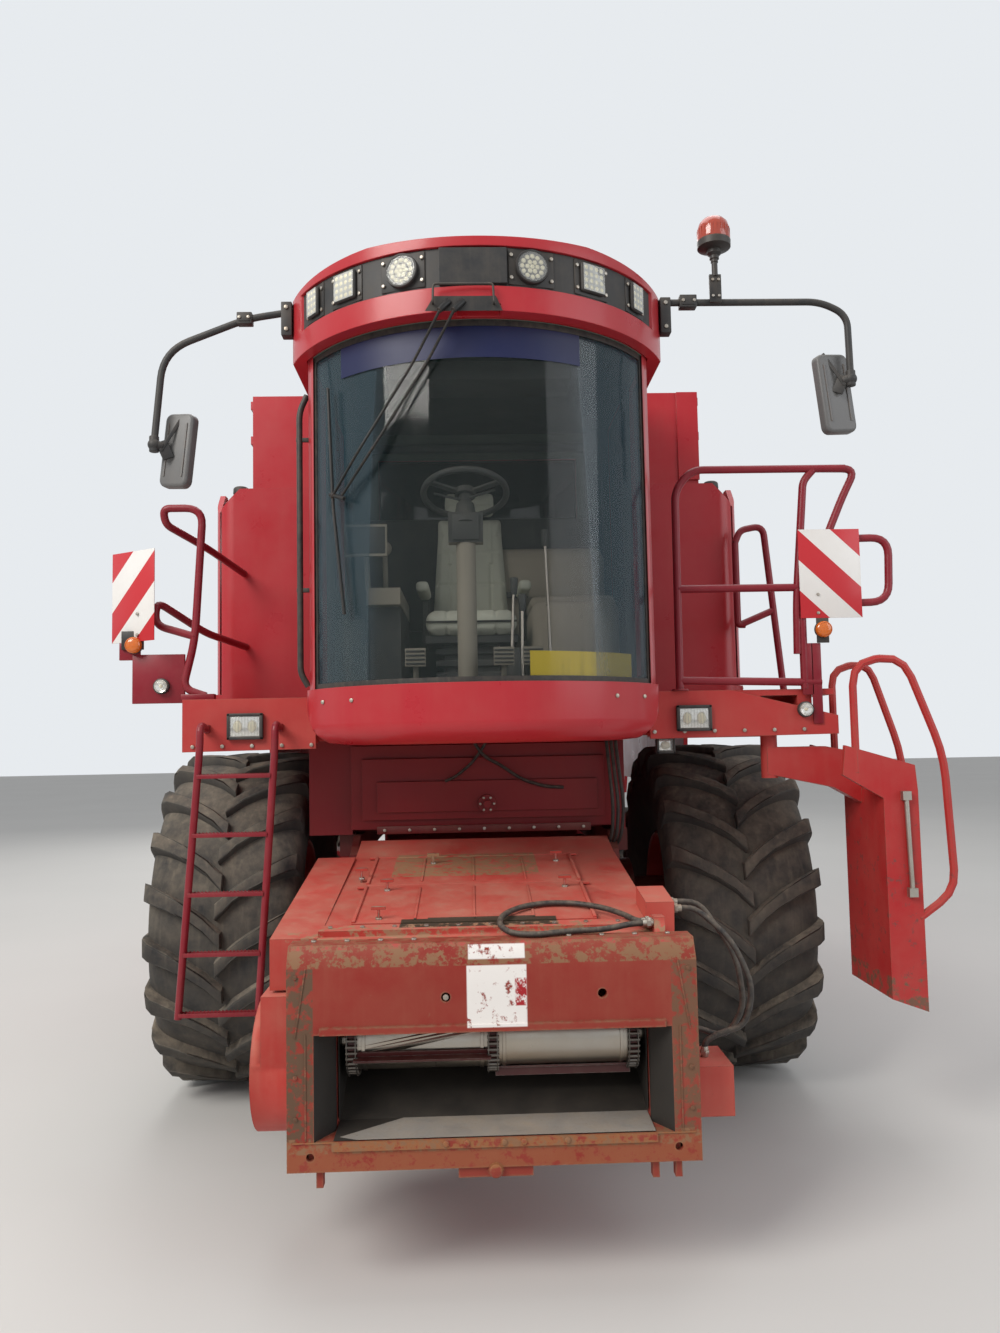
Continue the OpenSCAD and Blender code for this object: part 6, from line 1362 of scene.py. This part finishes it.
class HARVESTER_OT_feeder(bpy.types.Operator):
    """Adds the covers' seams, handles, bolts, chains and worn floor sheet of the feeder, the floor cut as a painted
    pool of sunlight, with dark sheets of painted shade in its throat
    """
    bl_idname = "harvester.feeder"
    bl_label = "Dress the feeder"

    def execute(self, context):
        lean = (math.degrees(FEEDER_SLOPE), 0, 0)
        # folded edges of the two covers, their ribs, and bare strips across the feeder's top
        shape, handles, bolts = Shape(), Shape(), Shape()
        for y0, depth in ((-2150, 520), (-1600, 480)):
            y = y0 + depth / 2 * math.cos(FEEDER_SLOPE)
            for x in (-524, 404):
                shape.slab((x, y, feeder_top(y) + 17), (14, depth - 10, 9), lean, 2)
            for x in (-290, -60, 170):
                shape.slab((x, y, feeder_top(y) + 15.5), (10, depth - 60, 6), lean, 2)
        for y in (-2205, -1625, -1100):
            shape.slab((-60, y, feeder_top(y) + 9), (1010, 22, 10), lean, 2)
        shape.slab((-60, -1330, feeder_top(-1330) + 6), (900, 380, 8), lean, 2)
        shape.done("feeder_cover_folds", "feeder_red", "feeder")
        for x, y in ((-430, -2100), (-430, -1700), (330, -1700), (-250, -1250), (330, -1250), (-560, -1500)):
            z = feeder_top(y)
            handles.rod((x, y, z), (x, y - 6, z + 58), 6, segments=14, bevel=1)
            handles.tube([(x - 27, y - 7, z + 58), (x, y - 7, z + 60), (x + 27, y - 7, z + 58)], 6, 20, sides=10)
            handles.rod((x, y, z + 12), (x, y - 2, z + 22), 14, 12, 20, 1)
        handles.done("feeder_cover_handles", "zinc", "feeder")
        # bolts and rivets
        y, z = -2225, feeder_top(-2225) + 21
        for x in range(-600, 620, 120):
            bolts.rod((x, y, z), (x, y - 1, z + 7), 9, segments=6, bevel=1)
        for x in (-640, -520, -400, -280, 280, 400, 520, 640):
            bolts.rod((x, -2365, 1200), (x, -2366, 1206.5), 10, 9, 14, 1.5)
        bolts.rod((-165, -2466, 1020), (-165, -2476, 1020), 11, 10, 18, 2)
        bolts.done("feeder_bolts", "zinc", "feeder")
        shape = Shape()
        for x in (-171, -99, 30, 99, 250):
            shape.rod((x, -2477, 526), (x, -2483, 526), 12, 10, 14, 2)
        for x in (-690, 690):
            for z in (620, 760, 1100):
                shape.bolt(x, -2470, z, 8, 5, 14, 1.5)
        shape.rod((0, -2474, 430), (0, -2482, 430), 24, 22, 24, 3)
        shape.done("face_bolts", "shaded_face_red", "feeder")
        # fold along the sill and creases down the jambs
        shape = Shape()
        shape.block((-700, 700), (-2474, -2469), (536, 541), 1.5)
        for side in (-1, 1):
            shape.block((side * 655 - 3, side * 655 + 3), (-2473, -2469), (545, 905), 1.2)
            shape.slab((side * 672, -2471, 1010), (6, 4, 240), (0, side * -9, 0), 1.2)
        shape.done("mouth_folds", "shaded_face_red", "feeder")
        # floor of the mouth in bright worn steel, cut to the outline of a painted pool of sunlight, and the near-black
        # sheets of painted shade in the duct behind it
        shape = Shape()
        shape.plate([(-540, -2440, 544), (-480, -2466, 543), (560, -2466, 543), (560, -2290, 548.5),
                     (-330, -2290, 548.5)], 2, (0, 0, 1))
        shape.done("sunlit_mouth_floor", "sheet_steel", "feeder")
        # near-black sheets of painted shade under the floor and along the duct's sides
        shape = Shape()
        for (y0, z0), (y1, z1) in (((-2466, 542.5), (-2290, 548)), ((-2290, 548.5), (-900, 1187))):
            shape.plate([(-560, y0, z0), (560, y0, z0), (560, y1, z1), (-560, y1, z1)], 2, (0, 0, 1))
        for side in (-1, 1):
            shape.block((side * 558 - 1, side * 558 + 1), (-2325, -960), (560, 1150))
        shape.done("duct_sheets", "duct", "feeder")
        # chain links on the three strands and the drum's bands
        links, bands = Shape(), Shape()
        for x in CHAIN_XS:
            chain_links(links, x)
        for x in (-470, -40, 40, 470):
            bands.turned([(108.2, -7), (112, -6), (112, 6), (108.2, 7)], (x, *DRUM), "X", 48)
        links.done("conveyor_chain_links", "chain", "feeder")
        bands.done("drum_bands", "steel", "feeder")
        return {"FINISHED"}


# Inside the cab

VOXEL = 0.006
STUFFING_FRAMES = 20
# The most that a cushion may swell, in metres
SWELL_LIMIT = 0.012
# Cushions: name, corners low and high in millimetres, how far it narrows and leans towards its top, the axis
# across which it is thin, fill, and its channels: axis, place from the middle, depth and half width
CUSHIONS = [
    ("seat_pad", (-282, -1178, 2440), (182, -712, 2542), 0, 0, 2, 0.75,
     [(0, -120, 9, 14), (0, 120, 9, 14), (1, 60, 7, 14)]),
    ("seat_back", (-272, -738, 2452), (172, -668, 3120), 0.2, 78, 1, 0.75,
     [(0, -110, 8, 14), (0, 110, 8, 14), (2, -40, 7, 14), (2, 140, 7, 14)]),
    ("seat_headrest", (-182, -645, 3134), (82, -580, 3262), 0, 0, 1, 0.8, [(2, 0, 4, 12)]),
    ("armrest_1", (-327, -1044, 2664), (-263, -686, 2716), 0, 0, 2, 0.85, [(2, 0, 2, 6)]),
    ("armrest_2", (193, -1044, 2664), (257, -686, 2716), 0, 0, 2, 0.85, [(2, 0, 2, 6)]),
]


def apply_all(obj):
    """Makes the modifiers' result the object's own mesh."""
    graph = bpy.context.evaluated_depsgraph_get()
    graph.update()
    made = bpy.data.meshes.new_from_object(obj.evaluated_get(graph))
    obj.modifiers.clear()
    obj.data = made


def stuff(pad):
    """Blows the pad up by cloth pressure, and holds every point within the limit."""
    start = [v.co.copy() for v in pad.data.vertices]
    blow = pad.modifiers.new("stuffing", "CLOTH")
    blow.settings.use_pressure = True
    blow.settings.uniform_pressure_force = 4.0
    blow.settings.effector_weights.gravity = 0.0
    blow.settings.tension_stiffness = 30.0
    scene = bpy.context.scene
    for number in range(1, STUFFING_FRAMES + 1):
        scene.frame_set(number)
    apply_all(pad)
    scene.frame_set(1)
    for v, before in zip(pad.data.vertices, start):
        shift = v.co - before
        if shift.length > SWELL_LIMIT:
            v.co = before + shift.normalized() * SWELL_LIMIT


def cushion(name, low, high, narrow, lean, thin, fill, channels):
    """A stuffed pad: a box with rounded corners, blown up by cloth, with sewn channels pressed in after."""
    bm = bmesh.new()
    size = (Vector(high) - Vector(low)) / 1000.0
    centre = at(*between(low, high, 0.5))
    cube(bm, Vector(high) - Vector(low))
    bevel_edges(bm, bm.edges[:], min(size) * 0.36, 3, clamp_overlap=True)
    for v in bm.verts:
        share = (v.co.z / size.z + 0.5) if narrow else 0.0
        v.co.x *= 1.0 - narrow * share
        v.co.y += lean * share / 1000.0
    bmesh.ops.translate(bm, vec=centre, verts=bm.verts[:])
    pad = placed(name, mesh_of(bm, name))
    remesh = pad.modifiers.new("even_mesh", "REMESH")
    remesh.mode = "VOXEL"
    remesh.voxel_size = VOXEL
    apply_all(pad)
    stuff(pad)
    for v in pad.data.vertices:
        for axis, place, deep, wide in channels:
            gap = abs(v.co[axis] - centre[axis] - place / 1000.0) / (wide / 1000.0)
            if gap < 1:
                press = deep / 1000.0 * (0.5 + 0.5 * math.cos(math.pi * gap))
                v.co[thin] -= math.copysign(press, v.co[thin] - centre[thin])
    pad.data.materials.clear()
    pad.data.materials.append(FINISH["cloth"])
    for polygon in pad.data.polygons:
        polygon.use_smooth = True
    smooth = pad.modifiers.new("smooth", "SUBSURF")
    smooth.levels = smooth.render_levels = 1
    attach(pad, "chassis")
    return pad


class HARVESTER_OT_seat(bpy.types.Operator):
    """Stuffs the seat's cushions and sews them"""
    bl_idname = "harvester.seat"
    bl_label = "Make the seat"

    def execute(self, context):
        pads = [cushion(*row) for row in CUSHIONS]
        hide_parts("seat_cushions")
        shape = Shape()
        for x in (-110, 10):
            shape.rod((x, -615, 3080), (x, -615, 3150), 7, segments=14)
        shape.block((-330, 260), (-688, -664), (2674, 2706), 6)
        for x in (-295, 225):
            shape.block((x - 16, x + 16), (-690, -660), (2440, 2690), 5)
        # piping along the pad's front edge
        shape.tube([(-272, -1176, 2492), (172, -1176, 2492)], 5, sides=8)
        shape.done("seat_frame", "trim")
        return {"FINISHED"}


CAB_FLOOR = 2090.5


class HARVESTER_OT_cab_inside(bpy.types.Operator):
    """Adds the cab's lining, mat, bench, levers, keys and blind"""
    bl_idname = "harvester.cab_inside"
    bl_label = "Fit out the cab"

    def execute(self, context):
        floor = CAB_FLOOR
        mat, trim, metal, bench = Shape(), Shape(), Shape(), Shape()
        mat.block((-700, 700), (-1640, -1256), (floor, floor + 8), 3)
        for i in range(30):
            mat.block((-680 + i * 46, -662 + i * 46), (-1620, -1270), (floor + 7, floor + 11), 1.5)
        # lining: ceiling, header behind the windshield, panel under the rear window, pillars' covers
        trim.block((-640, 640), (-1500, -460), (3640, 3669), 12)
        trim.block((-430, 430), (-1560, -1300), (3560, 3655), 20)
        trim.block((-700, 700), (-500, -441), (2520, 3150), 14)
        for x in (-738, 700):
            for y in ((-1252, -1216), (-530, -450)):
                trim.block((x, x + 38), y, (2110, 3640), 10)
        # upholstered bench at the operator's left, and the panel behind the seat
        bench.block((250, 690), (-1120, -560), (2100, 2600), 55, 4)
        bench.block((40, 690), (-640, -470), (2110, 2960), 70, 4)
        bench.block((250, 690), (-1010, -560), (2560, 2640), 38, 4)
        # plate on the control column, the wheel's hub and stalks
        trim.block((-132, -8), (-1512, -1500), (2830, 2950), 4)
        trim.rod((-70, -1470, 2900), (-70, -1430, 3010), 58, 42, 28, 4)
        trim.rod((-70, -1428, 3040), (70, -1450, 3075), 7, 6, 12)
        trim.rod((-70, -1428, 3030), (-215, -1450, 3060), 7, 6, 12)
        # levers beside the column and before the bench
        for x, y, z, lean in ((120, -1480, 2640, 30), (175, -1500, 2560, 10), (330, -1300, 2900, -20)):
            metal.rod((x, y, 2100), (x + lean, y + 30, z), 8, 7, 14)
            trim.rod((x + lean * 0.93, y + 28, z - 60), (x + lean, y + 30, z + 20), 15, 19, 18, 5)
        trim.rod((140, -1480, 2100), (150, -1470, 2330), 48, 30, 16, 4)
        # console's keys, screen and knob
        for i in range(3):
            for j in range(5):
                trim.block((-525 + i * 46, -497 + i * 46), (-1250 + j * 70, -1215 + j * 70), (2639, 2647), 3)
        trim.block((-632, -448), (-1403, -1399), (2792, 2918), 3)
        trim.rod((-465, -1180, 2636), (-465, -1184, 2660), 40, 30, 20, 3)
        # pedals' ribbed pads
        for x in (-300, 90, 220):
            for i in range(4):
                trim.block((x - 42, x + 42), (-1666, -1659), (floor + 158 + i * 18, floor + 166 + i * 18), 2)
        # rolled blind over the rear window
        trim.rod((-600, -470, 3560), (600, -470, 3560), 26, bevel=3)
        bench.done("cab_bench", "lining")
        mat.done("cab_mat", "hose")
        trim.done("cab_fittings", "trim")
        metal.done("cab_levers", "steel")
        return {"FINISHED"}


# Body panels, deck and underside

SHIELD_X = 1490
BEAM_FRONT = -757
BULKHEAD_PIPES = [
    ([(-60, -748, 1990), (-50, -770, 1900), (10, -775, 1820), (90, -772, 1780), (200, -762, 1700),
      (330, -760, 1660), (420, -748, 1655)], 9),
    ([(30, -748, 1990), (20, -765, 1900), (-60, -772, 1790), (-150, -766, 1720), (-200, -748, 1700)], 8),
]


class HARVESTER_OT_body(bpy.types.Operator):
    """Adds the bulkhead's beam and pipes, seams, hinges, catches, bolts and tail lamps"""
    bl_idname = "harvester.body"
    bl_label = "Dress the body"

    def execute(self, context):
        red, black, bolts, pipes = Shape(), Shape(), Shape(), Shape()
        # bulkhead's beam, and the bolts of the hub behind the feeder
        red.block((-560, 560), (BEAM_FRONT, BEAM_FRONT + 12), (1430, 1470), 3)
        for x in range(-520, 560, 130):
            bolts.bolt(x, BEAM_FRONT, 1450, 9, 8)
        for x, z in circle(6, 36):
            bolts.bolt(17 + x, -770, 1578 + z, 7, 9)
        for route, r in BULKHEAD_PIPES:
            pipes.tube(route, r, 80)
        # pipes down the left of the feeder's pivot
        for i, x in enumerate((640, 664, 688)):
            pipes.tube([(x, -790, 2000), (x + 10, -830, 1800), (x + 26 + i * 4, -860, 1560),
                        (x + 20, -830, 1400), (x - 8, -730, 1330)], 9, 90)
        # seams, hinges and bolts of the side shields, and the caps of the tank's front corners
        for side in (-1, 1):
            x = side * SHIELD_X
            for y in (-210, 900, 1590, 2610, 3700):
                black.block((x - 1.5, x + 1.5), (y - 3, y + 3), (2200, 3080 if y > 0 else 3300))
            for y in (300, 1300, 3200, 3800):
                black.block((x - 4, x + 4), (y - 30, y + 30), (2236, 2262), 3)
            for y in range(-380, 3900, 420):
                bolts.rod((x - side, y, 2178), (x + side * 5, y, 2178), 9, 9, 14, 1.5)
            black.rod((side * 1360, -330, 3345), (side * 1360, -330, 3378), 45, 43, 28, 3)
            black.ball((side * 1360, -330, 3376), (42, 42, 16), 24, 12)
        # flange bolts along the deck's beam
        for xs, z in ((range(-1380, -800, 140), 1905), (range(820, 1690, 145), 1935)):
            for x in xs:
                bolts.bolt(x, DECK_FRONT, z, 10, 8, bevel=1.2)
        # bolts on the cab's apron
        for x in (-700, -560, 560, 700):
            y = CAB_ARC[1] - math.sqrt(897.0 ** 2 - x * x)
            bolts.rod((x, y + 4, 2090), (x * 1.006, y - 5, 2090), 9, 9, 14, 1.5)
        red.done("bulkhead_beam", "dark_red")
        black.done("shield_seams", "plastic")
        bolts.done("body_bolts", "zinc")
        pipes.done("bulkhead_pipes", "hose")
        lamp, lens, amber = Shape(), Shape(), Shape()
        for x in (-820, 820):
            lamp.block((x - 90, x + 90), (5700, 5722), (1700, 1790), 6)
            lens.block((x - 84, x + 20), (5720, 5732), (1706, 1784), 5)
            amber.block((x + 24, x + 84), (5720, 5732), (1706, 1784), 5)
        lamp.done("tail_lamp_bodies", "plastic")
        lens.done("tail_lamp_lenses", "tail_red")
        amber.done("tail_lamp_signals", "amber")
        return {"FINISHED"}


# Panel, registration and order of work

# The operators in the order of their work
OPERATORS = (HARVESTER_OT_finishes, HARVESTER_OT_camera, HARVESTER_OT_hoses, HARVESTER_OT_stage,
             HARVESTER_OT_kept_forms, HARVESTER_OT_tyres, HARVESTER_OT_glass, HARVESTER_OT_lamps, HARVESTER_OT_rails,
             HARVESTER_OT_mirrors, HARVESTER_OT_boards, HARVESTER_OT_wiper, HARVESTER_OT_feeder, HARVESTER_OT_seat,
             HARVESTER_OT_cab_inside, HARVESTER_OT_body)


class HARVESTER_PT_panel(bpy.types.Panel):
    """Lists the settings and the steps"""
    bl_label = "Combine harvester"
    bl_idname = "HARVESTER_PT_panel"
    bl_space_type = "VIEW_3D"
    bl_region_type = "UI"
    bl_category = "Harvester"

    def draw(self, context):
        scene = context.scene
        for group, names in ((scene.harvester_look, ("red_paint", "rubber", "dust_colour", "dust", "wear")),
                             (scene.harvester_sizes, ("edge", "rail", "lug_count")),
                             (scene.harvester_stage, ("key_power", "sky", "lens"))):
            box = self.layout.box()
            for name in names:
                box.prop(group, name)
        for item in OPERATORS:
            self.layout.operator(item.bl_idname)


CLASSES = (HarvesterLook, HarvesterSizes, HarvesterStage, *OPERATORS, HARVESTER_PT_panel)


def register():
    for item in CLASSES:
        bpy.utils.register_class(item)
    bpy.types.Scene.harvester_look = PointerProperty(type=HarvesterLook)
    bpy.types.Scene.harvester_sizes = PointerProperty(type=HarvesterSizes)
    bpy.types.Scene.harvester_stage = PointerProperty(type=HarvesterStage)


def unregister():
    del bpy.types.Scene.harvester_stage
    del bpy.types.Scene.harvester_sizes
    del bpy.types.Scene.harvester_look
    for item in reversed(CLASSES):
        bpy.utils.unregister_class(item)


def main():
    register()
    for item in OPERATORS:
        getattr(bpy.ops.harvester, item.bl_idname.split(".")[1])()


if __name__ == "__main__":
    main()
